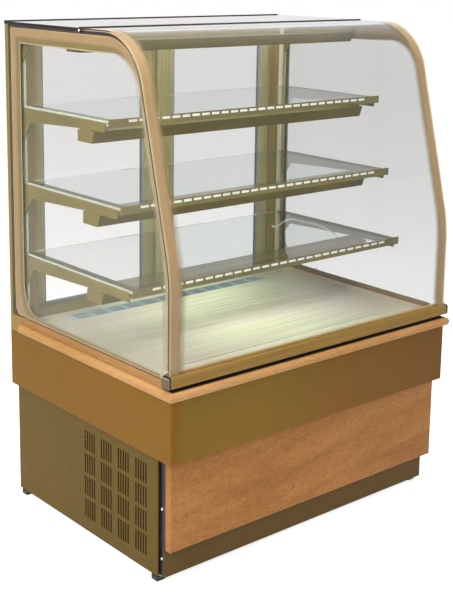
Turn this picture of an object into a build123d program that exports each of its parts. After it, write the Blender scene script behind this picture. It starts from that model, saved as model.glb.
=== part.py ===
from build123d import *
import os
from math import cos, pi, radians, sin, tan

# A floor-standing refrigerated pastry case: a painted base with a vented machine room,
# an insulated tub, oak trims, and a glass house whose front pane is bent in one piece.
# Millimetres. X is the width, Y runs from the customer side to the staff side, Z is up.

# Overall sizes, over the painted belt.
WIDTH = 950
DEPTH = 704
HEIGHT = 1290
HALF_W = WIDTH / 2
HALF_D = DEPTH / 2

# Levels, from the floor up.
FOOT_HEIGHT = 17
KICK_TOP = 97
BELT_LOW = 318
BELT_HIGH = 470
TRIM_TOP = 495
DECK = 500
SILL_TOP = 515

# Sheet metal.
SHEET = 1.5
THIN = 1.0

# Base cabinet, set in under the belt.
BASE_HALF_W = 464
BASE_FRONT = -290
BASE_REAR = 335
KICK_FACE = -306
KICK_HALF_W = 458
OAK_FACE = -335
OAK_THICK = 19
OAK_LOW = 93
OAK_HALF_W = 461

# Side vents: groups of upright slots in columns and rows.
VENT_COLUMNS = 4
VENT_COLUMN_PITCH = 72
VENT_CENTRE_Y = -115.5
VENT_ROWS = 4
VENT_ROW_PITCH = 61
VENT_CENTRE_Z = 170
VENT_SLOTS = 5
VENT_SLOT_PITCH = 10
VENT_SLOT_WIDTH = 5
VENT_SLOT_HEIGHT = 51

# Bullnose trim round three sides of the belt.
TRIM_NOSE = 11
TRIM_WIDTH = 46
TRIM_THICK = TRIM_TOP - BELT_HIGH

# Front pane: upright at the foot, leaning back, then bent over to the flat top.
GLASS = 6
GLASS_FACE = -350
GLASS_LEAN = radians(14.1)
KNEE_Z = 761
KNEE_RADIUS = 400
SHOULDER_RADIUS = 150
PANE_JOINT_Y = 0
PANE_GAP = 1

# Glazing of the sides.
SIDE_GLASS = 12
SIDE_GLASS_OUT = 473
SIDE_GLASS_REAR = 336
SEAL_GAP = 0.3
SEAL = 1.7
LIP_HEIGHT = 2

# Hinge of the front pane: a bead along the sill inside the pane's foot profile.
HINGE_Y = -343
HINGE_Z = 515
BEAD_RADIUS = 4.0
BEAD_CLEARANCE = 0.05
HINGE_OPEN = 45
PROFILE_FRONT = -356
PROFILE_REAR = -330
PROFILE_LOW = 503
PROFILE_HIGH = 533
CAP_LENGTH = 10

# Rear frame and its two sliding doors.
REAR_FRAME_FRONT = 306
POST_INNER = 426
POST_LIP = 408
POST_BODY_OUT = SIDE_GLASS_OUT - SIDE_GLASS
RAIL_FRONT_TOP = 525
TOP_RAIL_LOW = 1246
TOP_RAIL_HIGH = HEIGHT - GLASS
FRAME_WALL = 2.5
DOOR_THICK = 15
DOOR_STILE = 49
DOOR_LOW = 501
DOOR_HIGH = 1268
DOOR_OUTER = 421
DOOR_OVERLAP = 6
FRONT_TRACK_Y = 311.5
REAR_TRACK_Y = 332.5
TRACK_FIN_Y = 329.5

# Shelves, top one first: level under the glass, face of the front rail, face of the lamp.
SHELF_LEVELS = (1073, 874, 684)
SHELF_FACES = (-95, -142, -190)
LAMP_FACES = (-34, -54, -69)
TOP_LAMP_FACE = 11
TOP_LAMP_TOP = 1259
RAIL_HALF_W = 457
RAIL_HEIGHT = 20
RAIL_ABOVE_SHELF = 10
LAMP_DEPTH = 70
LAMP_HEIGHT = 29
LAMP_DROP = 26
BRACKET_X = 455
BRACKET_SHEET = 2.5
UPRIGHT_FRONT = 292

# Machine room.
FAN_CENTRE = (-350, VENT_CENTRE_Y, VENT_CENTRE_Z)
FAN_RADIUS = 104
COLD_FAN_CENTRE = (0, -85, 426)
COLD_FAN_RADIUS = 52
SHAFT_RADIUS = 4.0
SHAFT_CLEARANCE = 0.05

# The nose of the front trim stands out further than anything at the rear,
# so every piece moves back by half of it to centre the footprint on the origin.
CENTRE_SHIFT = TRIM_NOSE / 2


def block(x0, x1, y0, y1, z0, z1):
    """A rectangular block between six planes."""
    middle = Pos((x0 + x1) / 2, (y0 + y1) / 2, (z0 + z1) / 2)
    return middle * Box(x1 - x0, y1 - y0, z1 - z0)


def outline(points, radii=None):
    """A closed face through corner points, with a radius for each corner when given."""
    if radii is None:
        return make_face(Polyline(*points, close=True))
    return make_face(FilletPolyline(*points, radius=radii, close=True))


def along_x(face, x0, x1):
    """A section drawn in Y and Z, run from x0 to x1."""
    return extrude(Plane.YZ.offset(x0) * face, amount=x1 - x0)


def along_y(face, y0, y1):
    """A section drawn in X and Z, run from y0 to y1."""
    return extrude(Plane.XZ.offset(-y1) * face, amount=y1 - y0)


def along_z(face, z0, z1):
    """A plan drawn in X and Y, raised from z0 to z1."""
    return extrude(Pos(0, 0, z0) * face, amount=z1 - z0)


def rod(centre, radius, start, end, axis):
    """A round bar along one axis, between two places on it."""
    turned = {"x": Rot(0, 90, 0), "y": Rot(90, 0, 0), "z": Rot(0, 0, 0)}[axis]
    place = dict(zip("xyz", centre))
    place[axis] = (start + end) / 2
    return Pos(place["x"], place["y"], place["z"]) * turned * Cylinder(radius, end - start)


def both_sides(piece):
    """A piece and its mirror image across the middle of the case."""
    return [piece, mirror(piece, about=Plane.YZ)]


def save(name, *pieces):
    """Writes the solids of one sub-part, moved to the centred frame."""
    solids = []
    for piece in pieces:
        solids.extend((Pos(0, CENTRE_SHIFT, 0) * piece).solids())
    whole = solids[0] if len(solids) == 1 else Compound(solids)
    export_step(whole, f"parts/{name}.step")


def pane_line(inset, end_y):
    """Corner points and radii of the front pane's outer line, set in by a distance."""
    lean = tan(GLASS_LEAN)
    skew = inset / cos(GLASS_LEAN)
    foot_y = GLASS_FACE + inset
    knee_z = KNEE_Z + (inset - skew) / lean
    top_z = HEIGHT - inset
    shoulder_y = GLASS_FACE + (top_z - KNEE_Z) * lean + skew
    points = [(foot_y, knee_z), (shoulder_y, top_z), (end_y, top_z)]
    return points, [KNEE_RADIUS - inset, SHOULDER_RADIUS - inset]


def pane_band(outer, inner, foot_z, end_y):
    """The face between two lines set in from the front pane's outer line."""
    out_points, out_radii = pane_line(outer, end_y)
    in_points, in_radii = pane_line(inner, end_y)
    out_foot = (GLASS_FACE + outer, foot_z)
    in_foot = (GLASS_FACE + inner, foot_z)
    points = [out_foot] + out_points + in_points[::-1] + [in_foot]
    radii = [0] + out_radii + [0, 0] + in_radii[::-1] + [0]
    return outline(points, radii)


def foot():
    """Plastic foot: a square pad with eased corners under a narrower neck."""
    side, neck, pad_high = 25, 20, 12
    pad = Pos(0, 0, pad_high / 2) * Box(side, side, pad_high)
    pad = chamfer(pad.edges().filter_by(Axis.Z), 2)
    return pad + along_z(Rectangle(neck, neck), pad_high, FOOT_HEIGHT)


def feet():
    """Four feet under the corners of the base tray."""
    half_x = 448.5
    places = [(x, y) for x in (-half_x, half_x) for y in (-272.5, 320)]
    return [Pos(x, y, 0) * foot() for x, y in places]


def base_tray():
    """Folded floor of the machine room, with an air opening under the condenser fan."""
    side, front, rear, lip = 462, -295, 333, 20
    low = FOOT_HEIGHT
    floor = 2
    tray = block(-side, side, front, rear, low, low + lip)
    tray -= block(-side + floor, side - floor, front + floor, rear - floor, low + floor, low + lip)
    for x in (-side, side):
        inward = x - 12 if x > 0 else x
        tray -= block(inward, inward + 12, front, front + floor, low + floor, low + lip)
        notch = x - 5 if x > 0 else x
        tray -= block(notch, notch + 5, front, BASE_FRONT + 5, low, low + lip)
    for row in range(5):
        y = -200 + 40 * row
        tray -= block(-330, -210, y, y + 12, low, low + floor)
    return tray


def vent_slots():
    """Faces of all the slots in one side panel, drawn in Y and Z."""
    slot = Rectangle(VENT_SLOT_WIDTH, VENT_SLOT_HEIGHT)
    group = GridLocations(VENT_SLOT_PITCH, 1, VENT_SLOTS, 1) * slot
    field = GridLocations(VENT_COLUMN_PITCH, VENT_ROW_PITCH, VENT_COLUMNS, VENT_ROWS)
    return [Pos(VENT_CENTRE_Y, VENT_CENTRE_Z) * place * face for place in field for face in group]


def side_panel():
    """Left side sheet with its vents, folded in at the front, top and rear."""
    out = -BASE_HALF_W
    inner = out + SHEET
    corners = [(BASE_FRONT, FOOT_HEIGHT), (BASE_REAR, FOOT_HEIGHT)]
    corners += [(BASE_REAR, BELT_LOW), (BASE_FRONT, BELT_LOW)]
    face = outline(corners) - vent_slots()
    sheet = along_x(face, out, inner)
    sheet += block(inner, out + 4, BASE_FRONT, BASE_FRONT + SHEET, FOOT_HEIGHT, BELT_LOW)
    sheet += block(inner, out + 14, BASE_REAR - SHEET, BASE_REAR, FOOT_HEIGHT, BELT_LOW)
    sheet += block(inner, out + 18, BASE_FRONT, BASE_REAR, BELT_LOW - SHEET, BELT_LOW)
    return sheet


def rear_panel():
    """Service sheet with louvre slots, a cut-out for the controls and a hole for the gland."""
    half, low, high = 460, FOOT_HEIGHT + 2, BELT_LOW - 2
    corners = [(-half, low), (half, low), (half, high), (-half, high)]
    face = outline(corners)
    louvres = GridLocations(150, 18, 3, 9)
    face -= [Pos(-60, 170) * place * Rectangle(110, 7) for place in louvres]
    face -= Pos(CONTROL_X, CONTROL_Z) * Rectangle(212, 58)
    face -= Pos(GLAND_X, GLAND_Z) * Circle(8.2)
    return along_y(face, BASE_REAR, BASE_REAR + SHEET)


CONTROL_X, CONTROL_Z = 300, 262
GLAND_X, GLAND_Z = -400, 62


def kick_plate():
    """Painted plinth with its top and bottom edges folded back."""
    face_y = KICK_FACE
    bar = block(-KICK_HALF_W, KICK_HALF_W, face_y, face_y + SHEET, FOOT_HEIGHT, KICK_TOP)
    fold_half = 452
    bar += block(-fold_half, fold_half, face_y, -295.2, FOOT_HEIGHT, FOOT_HEIGHT + SHEET)
    bar += block(-fold_half, fold_half, face_y, -290, KICK_TOP - SHEET, KICK_TOP)
    return bar


def oak_panel():
    """Veneered front board with eased edges."""
    board = block(-OAK_HALF_W, OAK_HALF_W, OAK_FACE, OAK_FACE + OAK_THICK, OAK_LOW, BELT_LOW - 2)
    face = board.faces().sort_by(Axis.Y)[0]
    return chamfer(face.edges(), 1.5)


def front_upright():
    """Black folded post behind the oak board, set back from the side panel's edge."""
    web_out, flange_in = -456.5, -430
    front = OAK_FACE + OAK_THICK
    low, top = FOOT_HEIGHT + 2, BELT_LOW - 2
    web = [(-304, low), (-260, low), (-260, top), (front, top), (front, KICK_TOP), (-304, KICK_TOP)]
    post = along_x(outline(web), web_out, web_out + SHEET)
    post += block(web_out, flange_in, front, front + SHEET, KICK_TOP, top)
    return post


def belt_casing():
    """Painted band folded round the tub, open in the middle above and below."""
    flange = 25
    fold = 3
    outer = Pos(0, 0, BELT_LOW) * extrude(RectangleRounded(WIDTH, DEPTH, fold), BELT_HIGH - BELT_LOW)
    hollow = Rectangle(WIDTH - 2 * SHEET, DEPTH - 2 * SHEET)
    mouth = Rectangle(WIDTH - 2 * flange, DEPTH - 2 * flange)
    outer -= along_z(hollow, BELT_LOW + SHEET, BELT_HIGH - SHEET)
    outer -= along_z(mouth, BELT_LOW, BELT_HIGH)
    return outer


WELL_HALF_W, WELL_HALF_D, WELL_FLOOR = 420, 285, 355
PIPE_PORT = (140, 200, 188, 212)
PIPE_LINES = [(150, 200), (190, 200)]


def tub_insulation():
    """Foam body of the tub, with the well for the cooler and a port for the pipes."""
    side, end = HALF_W - SHEET, HALF_D - SHEET
    foam = block(-side, side, -end, end, BELT_LOW + SHEET, BELT_HIGH - SHEET)
    foam -= block(-WELL_HALF_W, WELL_HALF_W, -WELL_HALF_D, WELL_HALF_D, WELL_FLOOR, BELT_HIGH)
    return foam - block(*PIPE_PORT, BELT_LOW, WELL_FLOOR)


def tub_liner():
    """Steel lining of the well, with a rim on top of the belt."""
    rim_x, rim_front, rim_rear = 438, -313, 296
    liner = block(-WELL_HALF_W, WELL_HALF_W, -WELL_HALF_D, WELL_HALF_D, WELL_FLOOR, BELT_HIGH)
    liner += block(-rim_x, rim_x, rim_front, rim_rear, BELT_HIGH, BELT_HIGH + THIN)
    inner_x, inner_y = WELL_HALF_W - THIN, WELL_HALF_D - THIN
    liner -= block(-inner_x, inner_x, -inner_y, inner_y, WELL_FLOOR + THIN, BELT_HIGH + THIN)
    return liner - block(*PIPE_PORT, WELL_FLOOR, WELL_FLOOR + THIN)


FRONT_GRILLE = (-430, 430, -253, -203)
REAR_GRILLE = (-350, 350, 225, 275)


def deck_plate():
    """Steel display deck: upturned sides, a skirt down to the tub, two air openings."""
    side, front, rear, tab_x, tab_y = 460, -315, 296.5, 425, 305.5
    low = DECK - SHEET
    plan = [(-side, front), (side, front), (side, rear), (tab_x, rear), (tab_x, tab_y)]
    plan += [(-tab_x, tab_y), (-tab_x, rear), (-side, rear)]
    plate = along_z(outline(plan), low, DECK)
    for x in (-side, side - SHEET):
        plate += block(x, x + SHEET, front, rear, DECK, SILL_TOP - 3)
    skirt_x, skirt_front, skirt_rear = 437, -312, 295
    skirt_low = BELT_HIGH + THIN
    skirt = block(-skirt_x, skirt_x, skirt_front, skirt_rear, skirt_low, low)
    inner = skirt_x - SHEET
    skirt -= block(-inner, inner, skirt_front + SHEET, skirt_rear - SHEET, skirt_low, low)
    plate += skirt
    for x0, x1, y0, y1 in (FRONT_GRILLE, REAR_GRILLE):
        plate -= block(x0, x1, y0, y1, low, DECK)
    return plate


def grille(bounds, slot_size, pitch, counts):
    """Flat air grille that lies in an opening of the deck."""
    x0, x1, y0, y1 = bounds
    play = 0.3
    middle = Pos((x0 + x1) / 2, (y0 + y1) / 2)
    face = middle * Rectangle(x1 - x0 - 2 * play, y1 - y0 - 2 * play)
    face -= [middle * place * Rectangle(*slot_size) for place in GridLocations(*pitch, *counts)]
    return along_z(face, DECK - SHEET, DECK)


def trim_section():
    """Bullnose section with its nose at +X, drawn in X and Z."""
    nose = HALF_W + TRIM_NOSE
    radius = TRIM_THICK / 2
    corners = [(nose - TRIM_WIDTH, BELT_HIGH), (nose, BELT_HIGH)]
    corners += [(nose, TRIM_TOP), (nose - TRIM_WIDTH, TRIM_TOP)]
    eased = radius - 0.01
    return outline(corners, [0, eased, eased, 0])


def trim_side():
    """Right oak trim, mitred at the front corner."""
    nose_x, nose_y = HALF_W + TRIM_NOSE, -HALF_D - TRIM_NOSE
    rear = 297
    bar = along_y(trim_section(), nose_y, rear)
    plan = [(nose_x - TRIM_WIDTH, nose_y + TRIM_WIDTH), (nose_x, nose_y), (nose_x, rear)]
    plan += [(nose_x - TRIM_WIDTH, rear)]
    return bar & along_z(outline(plan), BELT_HIGH, TRIM_TOP)


def trim_front():
    """Front oak trim, mitred at both ends."""
    nose_x, nose_y = HALF_W + TRIM_NOSE, -HALF_D - TRIM_NOSE
    shift = HALF_D - HALF_W
    bar = Rot(0, 0, -90) * along_y(trim_section(), -nose_x, nose_x)
    bar = Pos(0, -shift, 0) * bar
    plan = [(-nose_x, nose_y), (nose_x, nose_y), (nose_x - TRIM_WIDTH, nose_y + TRIM_WIDTH)]
    plan += [(TRIM_WIDTH - nose_x, nose_y + TRIM_WIDTH)]
    return bar & along_z(outline(plan), BELT_HIGH, TRIM_TOP)


def side_sill():
    """Right oak strip that the side glass stands on."""
    out, thick, front, rear = SIDE_GLASS_OUT + 1, 12, -318, 297
    corners = [(out - thick, TRIM_TOP), (out, TRIM_TOP), (out, SILL_TOP), (out - thick, SILL_TOP)]
    return along_y(outline(corners, [0, 0, 2, 0]), front, rear)


def corner_block():
    """Right painted block that carries the rear post."""
    front = 297
    corners = [(POST_INNER, front), (HALF_W, front), (HALF_W, HALF_D), (POST_INNER, HALF_D)]
    return along_z(outline(corners, [0, 1.5, 3, 0]), BELT_HIGH, SILL_TOP - 1)


def hinge_rail():
    """Fixed hinge bar: a foot on the front trim, a slanting neck and a round bead."""
    half, foot_thick, neck = 474, 3, 1.1
    foot_bar = outline([(-337, TRIM_TOP), (-318.5, TRIM_TOP), (-318.5, TRIM_TOP + foot_thick),
                        (-337, TRIM_TOP + foot_thick)])
    reach = (HINGE_Z - TRIM_TOP) / sin(radians(60)) - 1
    web = Pos(HINGE_Y, HINGE_Z) * Rot(0, 0, -60) * Pos(reach / 2, 0) * Rectangle(reach, 2 * neck)
    bead = Pos(HINGE_Y, HINGE_Z) * Circle(BEAD_RADIUS)
    return along_x(foot_bar + web + bead, -half, half)


def profile_outline():
    """Outer shape of the pane's foot profile, drawn in Y and Z."""
    corners = [(PROFILE_FRONT, PROFILE_LOW), (PROFILE_FRONT, PROFILE_HIGH)]
    corners += [(PROFILE_REAR, PROFILE_HIGH), (PROFILE_REAR, PROFILE_LOW)]
    return outline(corners, [3, 7, 2, 1.5])


def front_profile():
    """Aluminium foot of the front pane: a slot for the glass above a socket for the bead."""
    grip = 0.15
    section = profile_outline()
    section -= Pos(HINGE_Y, HINGE_Z) * Circle(BEAD_RADIUS + BEAD_CLEARANCE)
    reach, neck_room = 40, 1.5
    hub = Pos(HINGE_Y, HINGE_Z)
    closed, opened = -60, -60 - HINGE_OPEN
    for angle in (closed, opened):
        section -= hub * Rot(0, 0, angle) * Pos(reach / 2, 0) * Rectangle(reach, 2 * neck_room)
    fan = [(0, 0)] + [(reach * cos(radians(a)), reach * sin(radians(a))) for a in (closed, opened)]
    section -= hub * outline(fan)
    slot_low = PROFILE_HIGH - 11.5
    slot = [(GLASS_FACE - grip, slot_low), (GLASS_FACE + GLASS + grip, slot_low)]
    slot += [(GLASS_FACE + GLASS + grip, PROFILE_HIGH + 1), (GLASS_FACE - grip, PROFILE_HIGH + 1)]
    section -= outline(slot)
    return along_x(section, -HALF_W, HALF_W)


def profile_cap():
    """Moulded cap on the right end of the foot profile, rounded down at its outer corner."""
    end, low, high = HALF_W + CAP_LENGTH, PROFILE_LOW, PROFILE_HIGH
    side = outline([(HALF_W, low), (end, low), (end, high), (HALF_W, high)], [0, 1.5, 9, 0])
    cap = along_x(profile_outline(), HALF_W, end)
    return cap & along_y(side, PROFILE_FRONT, PROFILE_REAR)


def front_glass():
    """Bent front pane, from its foot profile up and over to the joint with the top glass."""
    foot_z = PROFILE_HIGH - 11
    return along_x(pane_band(0, GLASS, foot_z, PANE_JOINT_Y - PANE_GAP), -HALF_W, HALF_W)


def side_glass():
    """Right double-glazed side, cut to the line of the front pane and cleared at the hinge."""
    points, radii = pane_line(GLASS + SEAL_GAP + SEAL, SIDE_GLASS_REAR)
    foot = GLASS_FACE + GLASS + SEAL_GAP + SEAL
    corners = [(foot, SILL_TOP)] + points + [(SIDE_GLASS_REAR, SILL_TOP)]
    face = outline(corners, [0] + radii + [0, 0])
    face -= Pos(HINGE_Y, HINGE_Z) * Circle(23)
    return along_x(face, SIDE_GLASS_OUT - SIDE_GLASS, SIDE_GLASS_OUT)


def side_seal():
    """Right rubber strip on the edge of the side glass, under the front pane and top glass."""
    face = pane_band(GLASS + SEAL_GAP, GLASS + SEAL_GAP + SEAL, PROFILE_HIGH + 8, SIDE_GLASS_REAR)
    return along_x(face, SIDE_GLASS_OUT - SIDE_GLASS + 1, SIDE_GLASS_OUT - 1)


def top_lips():
    """Flat rubber lips bonded along the front and rear edges of the top glass."""
    front = PANE_JOINT_Y + PANE_GAP
    stem, joint_lip, rear_lip = 1, 9, 5
    joint = block(-HALF_W, HALF_W, front - stem, front, HEIGHT - GLASS, HEIGHT + LIP_HEIGHT)
    joint += block(-HALF_W, HALF_W, front, front - stem + joint_lip, HEIGHT, HEIGHT + LIP_HEIGHT)
    rear = block(-HALF_W, HALF_W, HALF_D - rear_lip, HALF_D, HEIGHT, HEIGHT + LIP_HEIGHT)
    return [joint, rear]


def top_glass():
    """Flat top glass between the front pane and the rear of the case."""
    front = PANE_JOINT_Y + PANE_GAP
    return block(-HALF_W, HALF_W, front, HALF_D, HEIGHT - GLASS, HEIGHT)


def rear_post():
    """Right hollow rear post: two door channels inside, a rebate for the side glass outside."""
    wall = FRAME_WALL
    front, rear = REAR_FRAME_FRONT, HALF_D
    inside = block(POST_INNER, POST_BODY_OUT, front, rear, SILL_TOP - 1, TOP_RAIL_HIGH)
    inside -= block(POST_INNER + wall, POST_BODY_OUT - wall, front + wall, rear - wall,
                    SILL_TOP - 1, TOP_RAIL_HIGH)
    rebate = [(POST_BODY_OUT, 337), (HALF_W, 337), (HALF_W, rear), (POST_BODY_OUT, rear)]
    post = inside + along_z(outline(rebate, [0, 2, 3, 0]), SILL_TOP - 1, TOP_RAIL_HIGH)
    fin_low, fin_high = TRACK_FIN_Y - 0.9, TRACK_FIN_Y + 0.9
    lips = [(front, front + wall), (fin_low, fin_high), (rear - wall, rear)]
    for y0, y1 in lips:
        post += block(POST_LIP, POST_INNER, y0, y1, RAIL_FRONT_TOP, TOP_RAIL_LOW)
    return post


def rear_bottom_rail():
    """Lower door track: hollow foot, tall inner wall, fin between the tracks, outer wall."""
    wall = FRAME_WALL
    front, rear = REAR_FRAME_FRONT, HALF_D
    track = DOOR_LOW - 3
    corners = [(front, BELT_HIGH), (rear, BELT_HIGH), (rear, 512), (rear - wall, 512)]
    corners += [(rear - wall, track), (TRACK_FIN_Y + 0.9, track), (TRACK_FIN_Y + 0.9, 512)]
    corners += [(TRACK_FIN_Y - 0.9, 512), (TRACK_FIN_Y - 0.9, track), (front + wall, track)]
    corners += [(front + wall, RAIL_FRONT_TOP), (front, RAIL_FRONT_TOP)]
    cavity = [(front + 4, BELT_HIGH + 4), (rear - 4, BELT_HIGH + 4), (rear - 4, track - 4)]
    cavity += [(front + 4, track - 4)]
    return along_x(outline(corners) - outline(cavity), -POST_INNER, POST_INNER)


def rear_top_rail():
    """Upper door track: a roof with three walls hanging from it."""
    wall = FRAME_WALL
    front, rear = REAR_FRAME_FRONT, HALF_D
    roof, fin_low = TOP_RAIL_HIGH - 4, TOP_RAIL_LOW + 8
    corners = [(front, TOP_RAIL_HIGH), (front, TOP_RAIL_LOW), (front + wall, TOP_RAIL_LOW)]
    corners += [(front + wall, roof), (TRACK_FIN_Y - 0.9, roof), (TRACK_FIN_Y - 0.9, fin_low)]
    corners += [(TRACK_FIN_Y + 0.9, fin_low), (TRACK_FIN_Y + 0.9, roof), (rear - wall, roof)]
    corners += [(rear - wall, TOP_RAIL_LOW), (rear, TOP_RAIL_LOW), (rear, TOP_RAIL_HIGH)]
    return along_x(outline(corners), -POST_INNER, POST_INNER)


def door_frame(left, right, track_y, pull_x):
    """Door frame with a groove for its pane and a finger pull on the staff side."""
    low, high, rail_low, rail_high = DOOR_LOW, DOOR_HIGH, 24, 30
    rear = track_y + DOOR_THICK
    frame = block(left, right, track_y, rear, low, high)
    glass_bounds = door_glass_bounds(left, right)
    groove = 6
    x0, x1, z0, z1 = glass_bounds
    frame -= block(x0 + groove, x1 - groove, track_y, rear, z0 + groove, z1 - groove)
    middle = track_y + DOOR_THICK / 2
    frame -= block(x0, x1, middle - 3.1, middle + 3.1, z0, z1)
    pull = Pos(pull_x, rear, 880) * Rot(90, 0, 0) * extrude(SlotOverall(96, 22, rotation=90), 6)
    frame -= pull
    frame = chamfer_long_edges(frame, left, right)
    return frame


def chamfer_long_edges(frame, left, right):
    """Breaks the upright outer corners of a door frame."""
    upright = frame.edges().filter_by(Axis.Z)
    outer = [e for e in upright if abs(e.center().X - left) < 0.01 or abs(e.center().X - right) < 0.01]
    return chamfer(outer, 0.8)


def door_glass_bounds(left, right):
    """X and Z limits of a door's pane, six millimetres into its frame on every side."""
    groove = 6
    bottom, top = DOOR_LOW + 24, DOOR_HIGH - 30
    return (left + DOOR_STILE - groove, right - DOOR_STILE + groove, bottom - groove, top + groove)


def door_glass(left, right, track_y):
    """Pane of a sliding door."""
    x0, x1, z0, z1 = door_glass_bounds(left, right)
    middle = track_y + DOOR_THICK / 2
    play = 0.1
    return block(x0 + play, x1 - play, middle - 3, middle + 3, z0 + play, z1 - play)


def door_glides(left, right, track_y):
    """Two nylon shoes that carry a door on the floor of its track."""
    middle = track_y + DOOR_THICK / 2
    shoes = []
    for x in (left + 40, right - 40):
        shoe = block(x - 15, x + 15, middle - 5, middle + 5, DOOR_LOW - 2.7, DOOR_LOW)
        shoes.append(chamfer(shoe.faces().sort_by(Axis.Z)[0].edges().filter_by(Axis.Y), 1.5))
    return shoes


def shelf_upright():
    """Right upright: a channel whose groove takes the shelf brackets."""
    x0, x1, groove = 444, POST_BODY_OUT, 9
    low, high, rear = SILL_TOP - 1, 1280, REAR_FRAME_FRONT
    bar = block(x0, x1, UPRIGHT_FRONT, rear, low, high)
    half = groove / 2
    return bar - block(BRACKET_X - half, BRACKET_X + half, UPRIGHT_FRONT, rear - 3, low, high)


def bracket_arm(level, face, lamp_face):
    """Right shelf bracket: tapered web with a rear gusset, a ledge for the glass and a lamp tab."""
    inner, outer = BRACKET_X - BRACKET_SHEET / 2, BRACKET_X + BRACKET_SHEET / 2
    rear, start = UPRIGHT_FRONT + 4, face + 16
    web = [(start, level), (rear, level), (rear, level - 84), (rear - 8, level - 84)]
    web += [(251, level - 34), (lamp_face + LAMP_DEPTH + 6, level - 24), (start, level - 22)]
    arm = along_x(outline(web), inner, outer)
    arm += block(426, inner, start, 286, level - 2, level)
    arm += block(436, inner, lamp_face + 12, lamp_face + LAMP_DEPTH - 12, level - LAMP_DROP,
                 level - LAMP_DROP + 2)
    arm += block(inner, outer, lamp_face + 12, lamp_face + LAMP_DEPTH - 12, level - LAMP_DROP,
                 level - 20)
    tongue = block(BRACKET_X - 4.3, BRACKET_X + 4.3, UPRIGHT_FRONT + 0.3, REAR_FRAME_FRONT - 3.2,
                   level - 84, level)
    return arm + tongue


def lamp_bracket():
    """Right top bracket, which carries only a lamp."""
    inner, outer = BRACKET_X - BRACKET_SHEET / 2, BRACKET_X + BRACKET_SHEET / 2
    top, rear, start = 1276, UPRIGHT_FRONT + 4, TOP_LAMP_FACE + 4
    web = [(start, top), (rear, top), (rear, 1186), (rear - 8, 1186)]
    web += [(238, 1248), (110, TOP_LAMP_TOP), (start, TOP_LAMP_TOP)]
    arm = along_x(outline(web), inner, outer)
    arm += block(436, inner, TOP_LAMP_FACE + 12, TOP_LAMP_FACE + 58, TOP_LAMP_TOP, TOP_LAMP_TOP + 2)
    tongue = block(BRACKET_X - 4.3, BRACKET_X + 4.3, UPRIGHT_FRONT + 0.3, REAR_FRAME_FRONT - 3.2,
                   1186, top)
    return arm + tongue


def shelf_glass(level, face):
    """Shelf pane, lying on the ledges of its two brackets and its front rail."""
    half = BRACKET_X - BRACKET_SHEET / 2 - 1
    return block(-half, half, face + 2.3, 290, level, level + GLASS)


def shelf_rail(level, face):
    """Front rail of a shelf: a slotted upstand, a ledge under the glass and a folded foot."""
    top = level + RAIL_ABOVE_SHELF
    low = top - RAIL_HEIGHT
    corners = [(face, low), (face + 14, low), (face + 14, low + 2), (face + 2, low + 2)]
    corners += [(face + 2, level - 2), (face + 16, level - 2), (face + 16, level)]
    corners += [(face + 2, level), (face + 2, top), (face, top)]
    rail = along_x(outline(corners), -RAIL_HALF_W, RAIL_HALF_W)
    slot = Pos(0, top - 7) * Rectangle(26, 7)
    slots = GridLocations(31, 1, 26, 1)
    cut = along_y(Sketch() + [place * slot for place in slots], face - 1, face + 2)
    return rail - cut


def lamp_housing(face, top):
    """Folded lamp trough, open below, with a leaning front and closed ends."""
    lean, wall, mouth = 10, 1.5, 4
    rear, low = face + LAMP_DEPTH, top - LAMP_HEIGHT
    shell = [(face, top), (rear, top), (rear, low), (face + lean, low)]
    room = [(face + wall + 1, top - wall), (rear - wall, top - wall), (rear - wall, low)]
    room += [(face + lean + mouth, low)]
    half = RAIL_HALF_W
    trough = along_x(outline(shell), -half, half)
    return trough - along_x(outline(room), -half + 2, half - 2)


def lamp_tube(face, top):
    """Lamp tube that runs between the ends of its housing."""
    tube = Pos(face + 40, top - 14) * RegularPolygon(8, 12)
    return along_x(tube, -RAIL_HALF_W + 2, RAIL_HALF_W - 2)


LEAD_RADIUS = 2.5
LEAD_ROUTE = [(432, 306, 634), (432, 288, 634), (437, 268, 650), (444, 250, 664), (448, 226, 668),
              (449.5, 184, 667), (449.5, 138, 669), (448.5, 96, 666), (448, 60, 658), (448, 28, 642),
              (448, 1, 642)]


def cable(route, radius):
    """A cable along a route, with an arc as large as its two runs allow at every point."""
    radii = []
    for before, here, after in zip(route, route[1:], route[2:]):
        first, second = Vector(*here) - Vector(*before), Vector(*after) - Vector(*here)
        half_turn = tan(radians(first.get_angle(second)) / 2)
        radii.append(0.45 * min(first.length, second.length) / half_turn)
    print("cable radii", [round(r) for r in radii])
    path = FilletPolyline(*route, radius=radii)
    start = Plane(origin=route[0], z_dir=Vector(*route[1]) - Vector(*route[0]))
    return sweep(start * RegularPolygon(radius, 8), path=path)


def compressor():
    """Hermetic compressor: a welded pot on a mounting plate."""
    rings = [(72, 42), (86, 62), (86, 116), (90, 118), (90, 122), (86, 124), (84, 168), (62, 198)]
    rings.append((20, 206))
    pot = loft([Pos(0, 0, high) * RegularPolygon(radius, 24) for radius, high in rings], ruled=True)
    room = along_z(RegularPolygon(80, 12), 64, 165)
    pot = Pos(COMPRESSOR_X, COMPRESSOR_Y, 0) * (pot - room)
    plate = block(COMPRESSOR_X - 105, COMPRESSOR_X + 105, COMPRESSOR_Y - 70, COMPRESSOR_Y + 70, 39, 42)
    for x in (-90, 90):
        for y in (-55, 55):
            grommet = Pos(COMPRESSOR_X + x, COMPRESSOR_Y + y) * RegularPolygon(12, 8)
            plate += along_z(grommet, FOOT_HEIGHT + 2, 39)
    return pot + plate


COMPRESSOR_X, COMPRESSOR_Y = 150, 40
COIL_X0, COIL_X1 = -452, -412


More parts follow.
